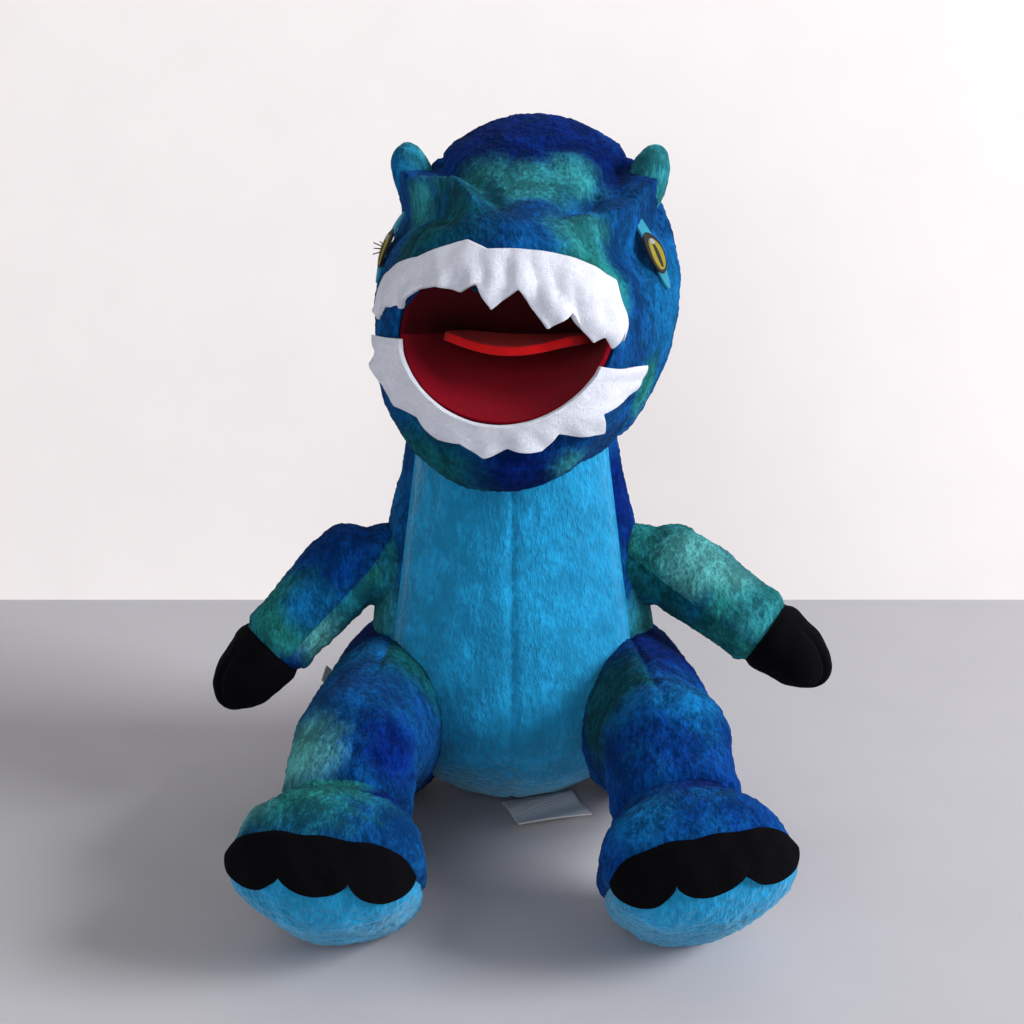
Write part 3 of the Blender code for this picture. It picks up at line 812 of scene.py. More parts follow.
def mouth_rim(angle):
    """How far ahead of the crease the mouth's inside meets the head's surface, at each angle."""
    near = np.zeros_like(angle)
    far = np.full_like(angle, MOUTH_REACH)
    for _ in range(24):
        ahead = (near + far) / 2
        half_width, middle, half_height = mouth_section(ahead)
        offset, head_x, head_z = section(HEAD, HEAD_CAPS, CREASE_FORWARD + ahead)
        beyond = ((MOUTH_SHIFT + half_width * np.cos(angle)) / np.maximum(head_x, 1e-5)) ** 2
        beyond += ((middle + half_height * np.sin(angle) - offset) / np.maximum(head_z, 1e-5)) ** 2
        near = np.where(beyond < 1, ahead, near)
        far = np.where(beyond < 1, far, ahead)
    return near


def mouth_space():
    """The open mouth: an oval that widens forward from a flat crease."""
    bm = bmesh.new()
    bmesh.ops.create_cone(bm, cap_ends=True, segments=72, radius1=1.0, radius2=1.0, depth=1.0)
    for vert in bm.verts:
        ahead = MOUTH_REACH if vert.co.z > 0 else 0.0
        half_width, middle, half_height = mouth_section(ahead)
        across = MOUTH_SHIFT + vert.co.x * half_width
        vert.co = head_point(across, CREASE_FORWARD + ahead, middle + vert.co.y * half_height)
    bmesh.ops.recalc_face_normals(bm, faces=bm.faces)
    return finish_mesh("mouth_space", bm, None)


# Lines of the pinched brows: across and forward
BROWS = (
    ((0.0275, 0.036), (0.0235, 0.052), (0.0150, 0.072)),
    ((-0.0275, 0.036), (-0.0215, 0.048), (-0.0105, 0.060), (-0.0030, 0.078)),
)


def head_lumps(place, normal):
    return lumps(place, 0.020, 0.0007, 7.7)


def head_relief(place, normal):
    """Seams, pinched brows and lumps of the head."""
    local = HEAD_INVERSE @ place
    forward = HEAD_BACK - local.y
    move = head_lumps(place, normal)
    if local.z > 0.034 or forward < 0.05:
        move += groove(abs(local.x) - GUSSET_SEAM_X - 0.004 * (forward < 0.05))
    if local.z > 0.045:
        spot = Vector((local.x, forward))
        for brow in BROWS:
            nearest, fade = 1.0, 0.0
            for start, end in zip(brow, brow[1:]):
                distance, share = line_distance(spot, Vector(start), Vector(end))
                if distance < nearest:
                    nearest = distance
                    fade = 1.0 if end is not brow[-1] else 1 - share**3
            move += BROW_HEIGHT * fade * max(0.0, 1 - nearest / 0.0036) ** 1.2
            move -= BROW_CREASE * fade * math.exp(-(((nearest - 0.0052) / 0.0020) ** 2))
    return move


def make_head():
    spots = (
        (NAVY, head_point(0.000, 0.034, 0.078), 0.030),
        (NAVY, head_point(0.016, 0.040, 0.072), 0.012),
        (TEAL, head_point(0.004, 0.058, 0.066), 0.011),
        (TEAL, head_point(0.014, 0.052, 0.070), 0.009),
        (TEAL, head_point(-0.010, 0.054, 0.068), 0.009),
        (BLUE, head_point(0.008, 0.068, 0.060), 0.006),
        # Dark green on the head's shaded side (x below zero): partly dye, partly painted shade
        (DEEP_GREEN, head_point(-0.014, 0.071, 0.055), 0.016),
        (TEAL, head_point(-0.022, 0.052, 0.060), 0.007),
        (TEAL, head_point(0.018, 0.071, 0.056), 0.009),
        (SEA_GREEN, head_point(0.022, 0.076, 0.046), 0.012),
        (SKY, head_point(0.034, 0.044, 0.040), 0.016),
        (SEA_GREEN, head_point(0.032, 0.054, 0.020), 0.008),
        (TEAL, head_point(0.034, 0.050, 0.014), 0.007),
        (SEA_GREEN, head_point(0.024, 0.062, 0.032), 0.005),
        (NAVY, head_point(0.006, 0.084, 0.004), 0.013),
        # Dark green under the jaw on the shaded side: partly dye, partly painted shade
        (DEEP_GREEN, head_point(-0.014, 0.080, 0.006), 0.014),
        (TEAL, head_point(0.018, 0.082, 0.006), 0.006),
        (SKY, head_point(-0.034, 0.040, 0.040), 0.016),
        (TEAL, head_point(0.0, 0.002, 0.050), 0.018),
        (SEA_GREEN, head_point(-0.026, 0.014, 0.060), 0.014),
    )
    head_cloth = plush("head_plush", BLUE, spots)
    head = finish_mesh("head", stuffed(HEAD, HEAD_CAPS, HEAD_FORM, 112, 96), head_cloth)
    cutter = mouth_space()
    hollow = head.modifiers.new("mouth", "BOOLEAN")
    hollow.object = cutter
    hollow.operation = "DIFFERENCE"
    hollow.solver = "EXACT"
    even = head.modifiers.new("even", "REMESH")
    even.mode = "VOXEL"
    even.voxel_size = NAP_STEP
    soft = head.modifiers.new("soft", "SMOOTH")
    soft.factor = 0.5
    soft.iterations = 6
    settle(head)
    bpy.data.objects.remove(cutter)
    bm = bmesh.new()
    bm.from_mesh(head.data)
    push(bm, head_relief)
    brush(bm)
    bm.to_mesh(head.data)
    bm.free()
    head.data.materials.clear()
    head.data.materials.append(head_cloth)
    head.data.shade_smooth()
    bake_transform(head)
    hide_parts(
        "head_gusset", "head_side_left", "head_side_right", "head_filling", "jaw_skin", "jaw_filling"
    )


TEETH_SWEEP = math.radians(61)   # half of the upper strip's bend
STRIP_WAVE = 0.0011
LINING_INSET = 0.0006
LINING_SHORT = 0.0013    # how far inside the lips the lining ends
# Share of the way along a strip, and how far its edge reaches there
UPPER_TIPS = (
    (0.00, 0.0060), (0.06, 0.0118), (0.11, 0.0094), (0.18, 0.0116), (0.26, 0.0074), (0.33, 0.0074),
    (0.41, 0.0092), (0.47, 0.0072), (0.52, 0.0135), (0.61, 0.0080), (0.70, 0.0168), (0.78, 0.0122),
    (0.85, 0.0182), (0.88, 0.0160), (0.91, 0.0182), (0.95, 0.0130), (0.97, 0.0150), (1.00, 0.0090),
)
UPPER_TOP = ((0.0, 0.0034), (0.22, 0.0016), (0.42, 0.0044), (0.50, 0.0016), (0.70, 0.0026), (1.0, 0.0034))
LOWER_TIPS = (
    (0.00, 0.0054), (0.05, 0.0048), (0.10, 0.0070), (0.17, 0.0054), (0.24, 0.0066), (0.31, 0.0040),
    (0.39, 0.0062), (0.45, 0.0046), (0.52, 0.0070), (0.58, 0.0046), (0.66, 0.0066), (0.72, 0.0040),
    (0.80, 0.0090), (0.84, 0.0050), (0.92, 0.0074), (1.00, 0.0058),
)
LOWER_DROOP = 0.8        # the folded strip is foreshortened where it turns under the jaw
LOWER_MIDDLE = math.radians(-100)
LOWER_SWEEP = math.radians(77)
LIP_OVERLAP = 0.0015     # the strip starts inside the mouth's rim


def lip_line(forward):
    return CREASE_HEIGHT + (forward - CREASE_FORWARD) * math.tan(PALATE_RISE)


def upper_strip(name, material):
    """A felt strip sewn above the upper lip. It hangs over the mouth, and its ends lie on the cheeks."""
    bm, across, up = sheet_grid(220, 14)
    azimuth = TEETH_SWEEP * across
    share = (across + 1) / 2
    end = np.cos(azimuth * 0.8)
    length = np.interp(share, *zip(*UPPER_TIPS)) * (0.45 + 0.55 * end)
    fold = np.interp(share, *zip(*UPPER_TOP)) * (0.3 + 0.7 * end)
    drop = -fold + (1 - up) / 2 * (length + fold)
    above = np.minimum(drop, 0)
    beyond = np.maximum(drop, 0)
    lying = surface_reach(HEAD, HEAD_CAPS, TEETH_CENTRE, azimuth, lambda forward: lip_line(forward) - drop)
    free = surface_reach(HEAD, HEAD_CAPS, TEETH_CENTRE, azimuth, lambda forward: lip_line(forward) - above)
    reach = np.maximum(free, lying)
    height = lip_line(TEETH_CENTRE + reach * np.cos(azimuth)) - drop
    reach += FELT - 0.05 * beyond
    reach += STRIP_WAVE * ripple(across * 9, drop * 160, 1.0) * (0.5 + beyond / 0.006)
    forward = TEETH_CENTRE + reach * np.cos(azimuth)
    move_grid(bm, HEAD_PLACE, reach * np.sin(azimuth), HEAD_BACK - forward, height)
    return thicken(finish_mesh(name, bm, material), FELT)


def face_of_head(x, height):
    """How far forward the head's front surface lies at each place."""
    near = np.full_like(x, CREASE_FORWARD - 0.02)
    far = np.full_like(x, HEAD[-1][0])
    for _ in range(28):
        forward = (near + far) / 2
        offset, half_x, half_z = section(HEAD, HEAD_CAPS, forward)
        beyond = (x / np.maximum(half_x, 1e-5)) ** 2
        beyond += ((height - offset) / np.maximum(half_z, 1e-5)) ** 2
        near = np.where(beyond < 1, forward, near)
        far = np.where(beyond < 1, far, forward)
    return near


def lower_strip(name, material):
    """A felt strip sewn to the mouth's lower rim and folded outwards over the jaw."""
    bm, across, up = sheet_grid(220, 14)
    angle = LOWER_MIDDLE + LOWER_SWEEP * across
    rim = mouth_rim(angle)
    half_width, middle, half_height = mouth_section(rim)
    width = np.interp((across + 1) / 2, *zip(*LOWER_TIPS))
    out = (1 - up) / 2 * (width + LIP_OVERLAP) - LIP_OVERLAP
    x = MOUTH_SHIFT + (half_width + out) * np.cos(angle)
    height = middle + (half_height + out * LOWER_DROOP) * np.sin(angle)
    forward = face_of_head(x, height)
    move_grid(bm, HEAD_PLACE, x, HEAD_BACK - forward, height)
    wave = STRIP_WAVE * ripple(across * 9, out * 130, 1.0) * (out / 0.005)
    lift = 0.0008 + 0.10 * np.maximum(out, 0) + wave
    facing = HEAD_PLACE.to_3x3() @ Vector((0, -1, 0))
    turned = 1 if sum((face.normal for face in bm.faces), Vector()).dot(facing) > 0 else -1
    for vert, amount in zip(bm.verts, lift):
        vert.co += vert.normal * turned * amount
    bm.normal_update()
    return thicken(finish_mesh(name, bm, material), FELT)


def make_teeth():
    white = felt("white_felt", WHITE)
    upper = upper_strip("teeth_above", white)
    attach(upper, "head")
    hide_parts("upper_teeth")
    lower = lower_strip("teeth_below", white)
    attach(lower, "jaw")
    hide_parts("lower_teeth")


def lining_piece(name, half, material):
    """Felt that covers the upper half (1) or the lower half (-1) of the mouth's inside."""
    bm, across, up = sheet_grid(90, 40)
    angle = half * math.pi / 2 * (1 - across)
    ahead = (up + 1) / 2 * (mouth_rim(angle) - LINING_SHORT) + 0.0004
    half_width, middle, half_height = mouth_section(ahead)
    x = MOUTH_SHIFT + (half_width - LINING_INSET) * np.cos(angle)
    height = middle + np.maximum(half_height - LINING_INSET, 0.0002) * np.sin(angle)
    move_grid(bm, HEAD_PLACE, x, HEAD_BACK - CREASE_FORWARD - ahead, height)
    push(bm, lambda place, normal: lumps(place, 0.012, 0.0003, half))
    return thicken(finish_mesh(name, bm, material), 0.0009)


TONGUE_HALF_WIDTH = 0.0158
TONGUE_START = 0.0052
TONGUE_LENGTH = 0.0219
TONGUE_RISE = math.radians(3)


def make_mouth():
    # The palate gets a darker red than the mouth's floor: painted shade
    upper = lining_piece("palate", 1, MATERIALS["palate_felt_painted_shade"])
    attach(upper, "head")
    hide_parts("mouth_lining_upper")
    lower = lining_piece("mouth_floor", -1, felt("mouth_felt", CRIMSON, 0.03))
    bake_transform(lower)
    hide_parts("mouth_lining_lower")
    bm, across, up = sheet_grid(60, 40)
    ahead = TONGUE_START + (up + 1) / 2 * (TONGUE_LENGTH - 0.004 * across**2)
    round_tip = np.sqrt(1 - 0.3 * np.maximum(up, 0) ** 2)
    x = MOUTH_SHIFT + across * round_tip * TONGUE_HALF_WIDTH * np.clip(0.45 + ahead / 0.016, 0, 1)
    height = ahead * math.tan(TONGUE_RISE) + 0.0022 * (across**2 - 0.4) * ahead / TONGUE_LENGTH
    move_grid(bm, HEAD_PLACE, x, HEAD_BACK - CREASE_FORWARD - ahead, CREASE_HEIGHT + height)
    tongue = thicken(finish_mesh("tongue_felt", bm, felt("tongue_felt", TONGUE_RED, 0.05)), 0.0019)
    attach(tongue, "tongue")
    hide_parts("tongue")


EYE_FORWARD = 0.049
EYE_HEIGHT = 0.050
EYE_LEAN = 0.10
STITCH = 0.0005          # thickness of a layer of satin stitch


def stitched(name, side, centre, half_sizes, lift, material, bend):
    """An oval of satin stitch on the cheek. Its centre and half-sizes are forward and up, from the
    eye's middle."""
    bm, u, v = sheet_grid(28, 28)
    across = u * np.sqrt(1 - v * v / 2) * half_sizes[0]
    up = v * np.sqrt(1 - u * u / 2) * half_sizes[1]
    across += bend * (up / half_sizes[1]) ** 2
    forward = EYE_FORWARD + centre[0] + across * math.cos(EYE_LEAN) + up * math.sin(EYE_LEAN)
    height = EYE_HEIGHT + centre[1] + up * math.cos(EYE_LEAN) - across * math.sin(EYE_LEAN)
    middle, half_width, half_height = section(HEAD, HEAD_CAPS, forward)
    reach = half_width * np.sqrt(np.maximum(0, 1 - ((height - middle) / half_height) ** 2))
    move_grid(bm, HEAD_PLACE, side * (reach + lift), HEAD_BACK - forward, height)
    if side < 0:
        bmesh.ops.reverse_faces(bm, faces=bm.faces)
    push(bm, head_lumps)
    return thicken(finish_mesh(name, bm, material), STITCH, -1.0)


def make_eyes():
    colours = {"cyan": CYAN, "black": BLACK, "yellow": YELLOW, "white": WHITE}
    threads = {label: thread(f"{label}_thread", colour) for label, colour in colours.items()}
    layers = (
        ("lids", (0.0, 0.0), (0.0022, 0.0082), 0.0006, "cyan", -0.0012),
        ("rim", (0.0, 0.0), (0.0034, 0.0045), 0.0008, "black", 0.0),
        ("iris", (0.0, -0.0002), (0.0025, 0.0034), 0.0010, "yellow", 0.0),
        ("pupil", (0.0, -0.0004), (0.0007, 0.0027), 0.0011, "black", 0.0),
        ("glint", (0.0004, 0.0026), (0.0009, 0.0006), 0.0012, "white", 0.0),
    )
    for name, side in SIDES.items():
        for label, centre, half_sizes, lift, colour, bend in layers:
            title = f"eye_{label}_{name}"
            piece = stitched(title, side, centre, half_sizes, lift, threads[colour], bend)
            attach(piece, "head")
            if label == "lids":
                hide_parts(f"eye_{name}")
    make_loose_threads(threads["black"])


# Rise and length of each loose end of thread
LOOSE_THREADS = ((-0.9, 0.0026), (-0.3, 0.0040), (0.1, 0.0036), (0.5, 0.0040), (1.0, 0.0028))
THREAD_RADII = (0.00018, 0.00012)


def make_loose_threads(material):
    """A few ends of thread left uncut at the edge of one eye."""
    bm = bmesh.new()
    middle, half_width, half_height = section(HEAD, HEAD_CAPS, EYE_FORWARD)
    cheek = half_width * math.sqrt(1 - ((EYE_HEIGHT - middle) / half_height) ** 2)
    root = head_point(-cheek, EYE_FORWARD, EYE_HEIGHT)
    for rise, length in LOOSE_THREADS:
        direction = HEAD_PLACE.to_3x3() @ Vector((-1.0, -0.5, rise)).normalized()
        place = put(root + direction * length / 2, aim(direction))
        thick, thin = THREAD_RADII
        bmesh.ops.create_cone(
            bm, cap_ends=True, segments=6, radius1=thick, radius2=thin, depth=length, matrix=place
        )
    threads = finish_mesh("eye_loose_threads_right", bm, material)
    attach(threads, "head")


CREST_RADII = (0.0047, 0.0062, 0.0085)
CREST_PLACE = (0.0280, 0.034, 0.0655)   # across, forward and up
CREST_LEAN = math.radians(14)


def make_crests():
    spots = (
        (SKY, (-0.03, 0.0, 0.155), 0.010),
        (BLUE, (0.03, 0.0, 0.150), 0.006),
    )
    teal = plush("crest_plush", TEAL, spots)
    across, forward, height = CREST_PLACE
    for name, side in SIDES.items():
        bm = bmesh.new()
        bmesh.ops.create_uvsphere(bm, u_segments=48, v_segments=36, radius=1.0)
        bmesh.ops.scale(bm, verts=bm.verts, vec=CREST_RADII)
        bm.transform(Matrix.Rotation(side * CREST_LEAN, 4, "Y"))
        bm.transform(HEAD_PLACE @ Matrix.Translation((side * across, HEAD_BACK - forward, height)))
        push(bm, lambda place, normal: lumps(place, 0.006, 0.0005, side))
        piece = finish_mesh(f"brow_tip_{name}", bm, teal)
        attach(piece, "head")
        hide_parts(f"crest_{name}")


# Limbs

ARM_SEAM = -0.0012       # height of the seam along an arm's front, from its middle
CLAWS_START = 0.029      # where the claws part, from the shoulder
CLAWS_LENGTH = 0.015
CLAW_NOTCH = 0.0034      # how far from a hand's middle its two notches lie
CLAW_NOTCH_DEPTH = 0.0016
# Dyes above and below an arm's seam: the ground, then spots by distance along the arm, offset and radius
ARM_DYES = {
    "left": (
        (SEA_GREEN, ((FOAM, 0.003, (0, -0.006, 0.006), 0.010), (FOAM, 0.014, (0, -0.002, 0.010), 0.009),
                     (TEAL, 0.022, (0, -0.006, 0.003), 0.009), (BLUE, 0.014, (0, 0.010, 0.004), 0.012))),
        (DEEP_GREEN, ((SEA_GREEN, 0.018, (0, -0.006, -0.006), 0.012),
                      (BLUE, 0.010, (0, 0.010, -0.004), 0.012))),
    ),
    "right": (
        (ROYAL, ((SEA_GREEN, 0.021, (0, -0.006, 0.006), 0.013), (SKY, 0.010, (0, -0.010, 0.002), 0.007))),
        (SEA_GREEN, ((FOAM, 0.010, (0, -0.008, -0.006), 0.008), (ROYAL, 0.023, (0, -0.008, -0.006), 0.010),
                     (ROYAL, 0.010, (0, 0.010, -0.004), 0.012))),
    ),
}


def spots_along(start, direction, patches, side=1):
    """Spots of dye along a limb, from their distances along it, their offsets and radii."""
    return [
        (dye, start + direction * along + mirrored(aside, side), radius)
        for dye, along, aside, radius in patches
    ]


def arm_place(name, side):
    droop = ARM_DROOP[name]
    level = math.cos(droop)
    direction = Vector((
        side * level * math.cos(ARM_FORWARD),
        -level * math.sin(ARM_FORWARD),
        -math.sin(droop),
    ))
    return put(mirrored(SHOULDER, side), aim(direction)), direction


def make_arm(name, side):
    place, direction = arm_place(name, side)
    back = place.inverted()
    shoulder = mirrored(SHOULDER, side)
    upper, lower = ARM_DYES[name]
    above = place.to_3x3() @ Vector((0, 1, 0))
    upper_spots = spots_along(shoulder, direction, upper[1])
    lower_spots = spots_along(shoulder, direction, lower[1])
    below_seam = (place @ Vector((0, ARM_SEAM, 0)), -above, lower[0], lower_spots)
    sleeve_cloth = plush(f"sleeve_plush_{name}", upper[0], upper_spots, below_seam)

    def arm_relief(spot, normal):
        local = back @ spot
        move = lumps(spot, 0.012, 0.0006, 11.3 + side)
        if side * local.x < 0:
            move += groove(local.y - ARM_SEAM, 0.0007, 0.0006)
        return move + groove(local.z - WRIST, 0.0011, 0.0010)

    def hand_relief(spot, normal):
        local = back @ spot
        tip = max(0.0, (local.z - CLAWS_START) / CLAWS_LENGTH)
        notch = sum(math.exp(-(((local.x - at) / 0.0010) ** 2)) for at in (-CLAW_NOTCH, CLAW_NOTCH))
        move = lumps(spot, 0.010, 0.0004, 5.5) - CLAW_NOTCH_DEPTH * min(tip, 1.0) * notch
        return move + groove(local.z - WRIST, 0.0011, 0.0007)

    bm = stuffed(ARM, ARM_CAPS, place)
    add_ball(bm, mirrored(ARMPIT, side), ARMPIT_RADIUS)
    bm = melt(bm, NAP_STEP, 8)
    push(bm, arm_relief)
    brush(bm)
    keep_side(bm, place @ Vector((0, 0, WRIST)), -direction)
    sleeve = finish_mesh(f"sleeve_{name}", bm, sleeve_cloth)
    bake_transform(sleeve)
    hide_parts(f"arm_skin_{name}", f"arm_filling_{name}")
    bm = stuffed(ARM, ARM_CAPS, place, 128, 128)
    push(bm, hand_relief)
    keep_side(bm, place @ Vector((0, 0, WRIST)), direction)
    mitt = finish_mesh(f"mitt_{name}", bm, MATERIALS["black_felt"])
    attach(mitt, f"arm_{name}")
    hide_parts(f"hand_claws_{name}")


THIGH_SEAM = 0.0020      # how far inside its middle a thigh's seam runs
# Dyes outside and inside a thigh's seam, in the same way
THIGH_DYES = {
    "left": (
        (ROYAL, ((NAVY, 0.016, (0.002, 0, 0.022), 0.020), (SKY, 0.048, (0.004, -0.006, 0.010), 0.008))),
        (ROYAL, ((DEEP_GREEN, 0.034, (-0.012, -0.004, 0.010), 0.018),
                 (SKY, 0.047, (-0.004, -0.006, 0.010), 0.007))),
    ),
    "right": (
        (BLUE, ((FOAM, 0.058, (0.009, -0.004, 0.000), 0.011), (SKY, 0.018, (0.006, -0.004, 0.018), 0.009),
                (NAVY, 0.004, (0.006, 0, 0.022), 0.010))),
        (BLUE, ((DEEP_GREEN, 0.014, (-0.008, -0.004, 0.018), 0.018),
                (NAVY, 0.058, (-0.009, -0.006, 0.003), 0.010))),
    ),
}
# A foot's ground, then spots by place in the foot's own frame and radius
FOOT_DYES = {
    "left": (ROYAL, ((NAVY, (0.006, -0.004, 0.016), 0.012), (SKY, (-0.010, -0.014, 0.006), 0.008))),
    "right": (BLUE, ((SEA_GREEN, (-0.005, -0.010, 0.013), 0.018), (FOAM, (-0.014, -0.012, 0.006), 0.007),
                     (NAVY, (0.012, -0.006, 0.012), 0.008))),
}


def leg_places(side):
    direction = Vector((
        side * math.sin(LEG_SPLAY) * math.cos(LEG_RISE),
        -math.cos(LEG_SPLAY) * math.cos(LEG_RISE),
        math.sin(LEG_RISE),
    ))
    hip = mirrored(HIP, side)
    turn = Matrix.Rotation(side * TOE_OUT, 4, "Z") @ Matrix.Rotation(-FOOT_PITCH, 4, "X")
    middle = Matrix.Translation((0, -FOOT_AHEAD, -FOOT_BELOW))
    foot = Matrix.Translation(hip + direction * ANKLE) @ turn @ middle
    return put(hip, aim(direction)), foot, direction


TOE_SWEEP = math.radians(49)
TOE_TOP = 0.0018
TOE_NOTCH = -0.0060
TOE_LOBE = 0.0032        # how far each claw reaches below its notch
TOE_CLAWS = 3
# Slope of the toes and the sole's seam, up towards the outside
FOOT_ROLL = {"left": 0.15, "right": 0.07}
SOLE_EDGE = -0.0075      # the height where a sole stands out most, in the foot's own frame
SOLE_EDGE_WIDTH = 0.0055


def sole_swell(height):
    """How far the fluffy edge of a sole stands out, at a height in the foot's own frame."""
    return SOLE_SWELL * np.exp(-(((height - SOLE_EDGE) / SOLE_EDGE_WIDTH) ** 2))


def toe_piece(name, place, roll, material):
    """Black felt across the front of a foot, with three rounded claws along its lower edge."""
    bm, across, up = sheet_grid(150, 30)
    azimuth = TOE_SWEEP * across
    high = TOE_TOP - 0.0045 * np.abs(across) ** 5 + 0.0004 * ripple(across * 4, 0 * across, 1.0)
    lobes = np.sqrt(np.abs(np.sin(TOE_CLAWS * math.pi / 2 * (across + 1))))
    low = TOE_NOTCH - TOE_LOBE * lobes + 0.0022 * across**4
    level = low + (high - low) * (up + 1) / 2

    def height_at(forward):
        return level + roll * forward * np.tan(azimuth)

    reach = surface_reach(FOOT, FOOT_CAPS, 0.0, azimuth, height_at)
    height = height_at(reach * np.cos(azimuth))
    reach += sole_swell(level) + 0.0008 + 0.0005 * ripple(across * 5, level * 300, 1.0)
    move_grid(bm, place, reach * np.sin(azimuth), -reach * np.cos(azimuth), height)
    return thicken(finish_mesh(name, bm, material), 0.0014)


def leg_form(side, roll):
    """Thigh, ankle and foot as one soft form, and the seam's place where the foot is sewn on."""
    thigh_place, foot_place, direction = leg_places(side)
    thigh_back = thigh_place.inverted()
    foot_back = foot_place.inverted()
    ankle = mirrored(HIP, side) + direction * ANKLE
    down = (foot_place.translation - ankle).normalized()
    seam = ankle + down * ANKLE_SEAM
    bm = stuffed(THIGH, THIGH_CAPS, thigh_place)
    foot = bpy.data.meshes.new("foot_form")
    foot_bm = stuffed(FOOT, FOOT_CAPS, foot_place @ FORWARD)
    foot_bm.to_mesh(foot)
    foot_bm.free()
    bm.from_mesh(foot)
    for share, radius in ANKLE_BALLS:
        add_ball(bm, ankle.lerp(foot_place.translation, share), radius)
    bm = melt(bm, NAP_STEP, 12)

    def relief(spot, normal):
        move = lumps(spot, 0.014, 0.0007, 2.2 + side)
        past = (spot - seam).dot(down)
        move += groove(past, 0.0010, 0.0010) - ANKLE_PINCH * math.exp(-((past / 0.006) ** 2))
        if past > 0:
            on_foot = foot_back @ spot
            level = on_foot.z - roll * on_foot.x
            move += groove(level - SOLE_HEIGHT, 0.0009, 0.0007) + sole_swell(level)
        else:
            local = thigh_back @ spot
            if local.y > 0:
                move += groove(local.x + side * THIGH_SEAM, 0.0008, 0.0004)
        return move

    push(bm, relief)
    brush(bm)
    flatten_below(bm)
    return bm, seam, down


def make_leg(name, side):
    thigh_place, foot_place, direction = leg_places(side)
    hip = mirrored(HIP, side)
    roll = side * FOOT_ROLL[name]
    whole, seam, down = leg_form(side, roll)
    up = (foot_place.to_3x3() @ Vector((-roll, 0, 1))).normalized()
    sole = foot_place @ Vector((0, 0, SOLE_HEIGHT))
    outer, inner = THIGH_DYES[name]
    across = -side * (thigh_place.to_3x3() @ Vector((1, 0, 0)))
    outer_spots = spots_along(hip, direction, outer[1], side)
    inner_spots = spots_along(hip, direction, inner[1], side)
    inside_seam = (thigh_place @ Vector((-side * THIGH_SEAM, 0, 0)), across, inner[0], inner_spots)
    thigh_cloth = plush(f"thigh_plush_{name}", outer[0], outer_spots, inside_seam)
    foot_base, foot_patches = FOOT_DYES[name]
    foot_spots = [(dye, foot_place @ Vector(spot), radius) for dye, spot, radius in foot_patches]
    foot_cloth = plush(f"instep_plush_{name}", foot_base, foot_spots)
    pieces = (
        ("thigh", thigh_cloth, ("thigh_skin", "thigh_filling"), "tie_dye", ((seam, -down),)),
        ("instep", foot_cloth, ("foot_upper", "foot_filling"), "tie_dye", ((seam, down), (sole, up))),
        ("sole", MATERIALS["sole_plush"], ("foot_sole",), "belly_blue", ((seam, down), (sole, -up))),
    )
    for label, material, nodes, slot, planes in pieces:
        bm = whole.copy()
        for point, normal in planes:
            keep_side(bm, point, normal)
        piece = finish_mesh(f"{label}_{name}", bm, material)
        if label == "thigh":
            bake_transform(piece)
        else:
            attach(piece, f"foot_{name}")
        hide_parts(*(f"{node}_{name}" for node in nodes))
    whole.free()
    toes = toe_piece(f"toes_{name}", foot_place, roll, MATERIALS["black_felt"])
    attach(toes, f"foot_{name}")
    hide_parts(f"toe_claws_{name}")


def make_tail():
    direction = Vector((0, math.cos(TAIL_DIP), -math.sin(TAIL_DIP)))
    place = put(Vector(TAIL_ROOT), aim(direction))
    bm = stuffed(TAIL, TAIL_CAPS, place)

    def relief(spot, normal):
        return lumps(spot, 0.014, 0.0006, 4.4) + groove(spot.x, 0.0008, 0.0006) * (normal.z > 0)

    push(bm, relief)
    flatten_below(bm)
    spots = (
        (TEAL, (0.006, 0.070, 0.024), 0.014),
        (NAVY, (-0.006, 0.090, 0.014), 0.010),
        (SEA_GREEN, (0.0, 0.100, 0.010), 0.006),
    )
    tail = finish_mesh("tail", bm, plush("tail_plush", BLUE, spots))
    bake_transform(tail)
    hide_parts("tail_skin", "tail_filling")


CARE_LABEL = (0.019, 0.0155)
CARE_PLACE = (0.0065, -0.0085, 0.0010)
CARE_YAW = math.radians(16)
SIDE_LABEL = (0.010, 0.0100)
SIDE_PLACE = (-0.0390, -0.018, 0.0315)
SIDE_RISE = math.radians(42)
RIBBON = 0.0004          # thickness of the satin


def label_piece(name, size, place, bend, material):
    """A ribbon sewn in at one end. Its free end is bent up."""
    bm = bmesh.new()
    bmesh.ops.create_grid(bm, x_segments=24, y_segments=36, size=0.5)
    for vert in bm.verts:
        across = vert.co.x * size[0]
        along = (vert.co.y + 0.5) * size[1]
        lift = bend * (along / size[1]) ** 2 + 0.0003 * math.sin(along * 500 + across * 160)
        vert.co = place @ Vector((across, -along, lift))
    bm.normal_update()
    return thicken(finish_mesh(name, bm, material), RIBBON)


def make_labels():
    satin = MATERIALS["satin"]
    place = Matrix.Translation(CARE_PLACE) @ Matrix.Rotation(CARE_YAW, 4, "Z")
    care = label_piece("label_under_belly", CARE_LABEL, place, 0.0010, satin)
    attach(care, "torso")
    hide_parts("care_label")
    turn = Matrix.Rotation(SIDE_RISE, 4, "Y") @ Matrix.Rotation(-math.pi / 2, 4, "Z")
    place = Matrix.Translation(SIDE_PLACE) @ turn
    beside = label_piece("label_beside_thigh", SIDE_LABEL, place, 0.0008, satin)
    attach(beside, "leg_right")
    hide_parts("side_label")


make_torso()
make_head()
make_teeth()
make_mouth()
make_eyes()
make_crests()
for limb_name, limb_side in SIDES.items():
    make_arm(limb_name, limb_side)
    make_leg(limb_name, limb_side)
make_tail()
make_labels()


# Floor, light and camera

# Place, size and power of each lamp
LIGHTS = (
    ("key", (1.68, -0.50, 0.95), 0.85, 54.0),
    ("fill", (-0.25, -0.85, 0.25), 0.70, 3.8),
)
WALL_Y = 0.155
WALL_HALF_HEIGHT = 0.75
STAGE_HALF = 1.5
WALL_GLOW = 0.35
FLOOR_PALE = srgb(176, 175, 180)
WALL_PALE = srgb(214, 209, 208)


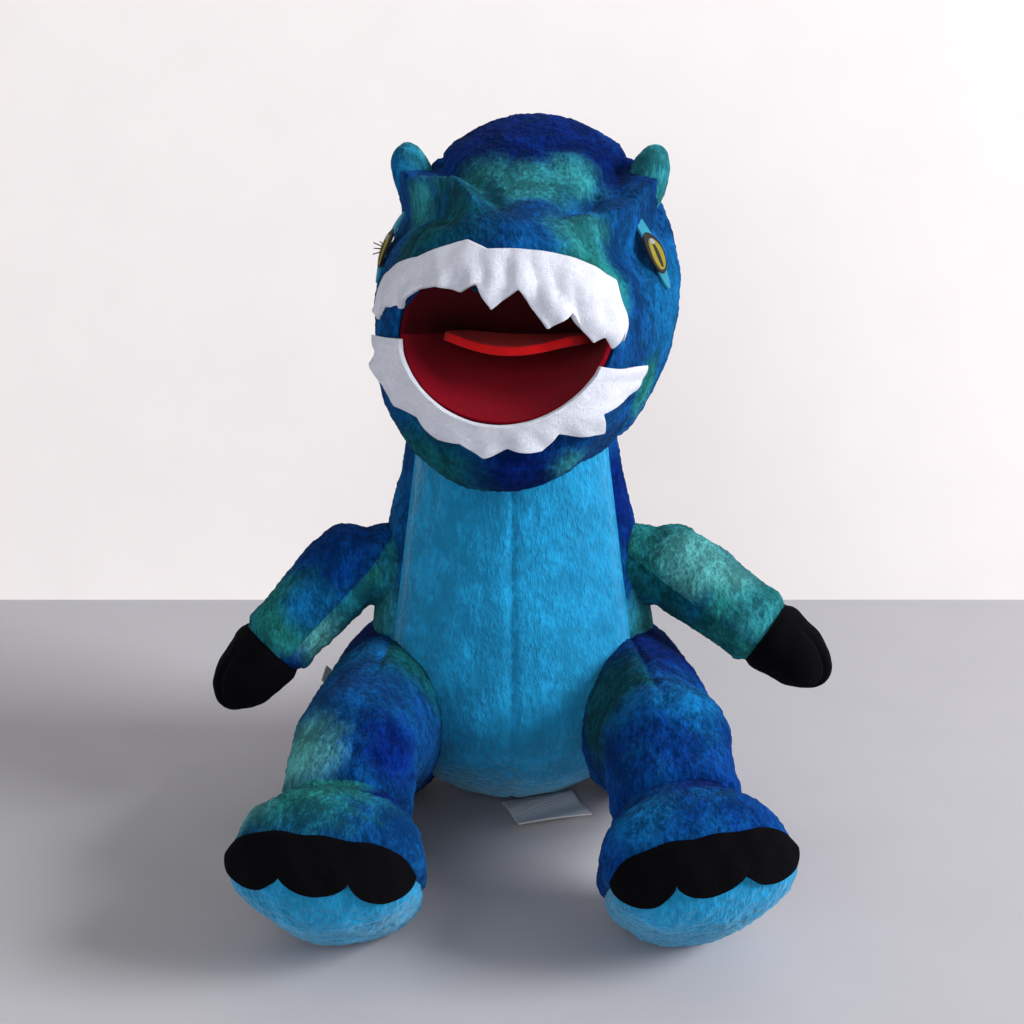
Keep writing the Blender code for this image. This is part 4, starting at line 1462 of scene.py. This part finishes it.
def backdrop_material(name, colour, glow):
    made = bpy.data.materials.new(name)
    made.use_nodes = True
    tree = made.node_tree
    shader = tree.nodes["Principled BSDF"]
    place = tree.nodes.new("ShaderNodeTexCoord").outputs["Object"]
    grain = use_group(tree, "grain", Place=place, Dark=shade(colour, 0.96), Pale=shade(colour, 1.04))
    tree.links.new(grain.outputs["Colour"], shader.inputs["Base Color"])
    shader.inputs["Roughness"].default_value = 0.8
    if glow:
        path = tree.nodes.new("ShaderNodeLightPath")
        glossy = path.outputs["Is Glossy Ray"]
        through = path.outputs["Is Transmission Ray"]
        bounced = math_node(tree, "MAXIMUM", glossy, through)
        seen = math_node(tree, "MAXIMUM", path.outputs["Is Camera Ray"], bounced)
        tree.links.new(math_node(tree, "MULTIPLY", seen, glow), shader.inputs["Emission Strength"])
        shader.inputs["Emission Color"].default_value = (*colour, 1.0)
        behind = tree.nodes.new("ShaderNodeNewGeometry").outputs["Backfacing"]
        hidden = math_node(tree, "MULTIPLY", path.outputs["Is Camera Ray"], behind)
        tree.links.new(math_node(tree, "SUBTRACT", 1.0, hidden), shader.inputs["Alpha"])
    return made


def plane_piece(name, half_x, half_y, place, material):
    bm = bmesh.new()
    bmesh.ops.create_grid(bm, x_segments=1, y_segments=1, size=1.0)
    bmesh.ops.scale(bm, verts=bm.verts, vec=(half_x, half_y, 1))
    bm.transform(place)
    return finish_mesh(name, bm, material)


def set_stage():
    floor_finish = backdrop_material("floor_pale", FLOOR_PALE, 0.0)
    floor = plane_piece("floor", STAGE_HALF, STAGE_HALF, Matrix.Identity(4), floor_finish)
    upright = Matrix.Translation((0, WALL_Y, WALL_HALF_HEIGHT)) @ FORWARD
    wall_finish = backdrop_material("wall_pale", WALL_PALE, WALL_GLOW)
    wall = plane_piece("wall", STAGE_HALF, WALL_HALF_HEIGHT, upright, wall_finish)
    for name, location, size, power in LIGHTS:
        data = bpy.data.lights.new(name, "AREA")
        data.size = size
        data.energy = power
        light = bpy.data.objects.new(name, data)
        light.location = location
        light.rotation_euler = (Vector((0, 0, 0.07)) - Vector(location)).to_track_quat("-Z", "Y").to_euler()
        bpy.context.scene.collection.objects.link(light)
    world = bpy.data.worlds.new("room")
    world.use_nodes = True
    world.node_tree.nodes["Background"].inputs["Color"].default_value = (0.95, 0.97, 1.0, 1.0)
    world.node_tree.nodes["Background"].inputs["Strength"].default_value = 0.27
    bpy.context.scene.world = world
    bpy.context.scene.view_settings.view_transform = "Standard"


def set_camera():
    data = bpy.data.cameras.new("camera")
    camera = bpy.data.objects.new("camera", data)
    bpy.context.scene.collection.objects.link(camera)
    data.lens = 52.7
    data.clip_start = 0.01
    elevation = math.radians(15)
    target = Vector((0, 0, 0.0745))
    distance = 0.375
    camera.location = target + distance * Vector((0, -math.cos(elevation), math.sin(elevation)))
    camera.rotation_euler = (math.pi / 2 - elevation, 0, 0)
    bpy.context.scene.camera = camera


set_stage()
set_camera()
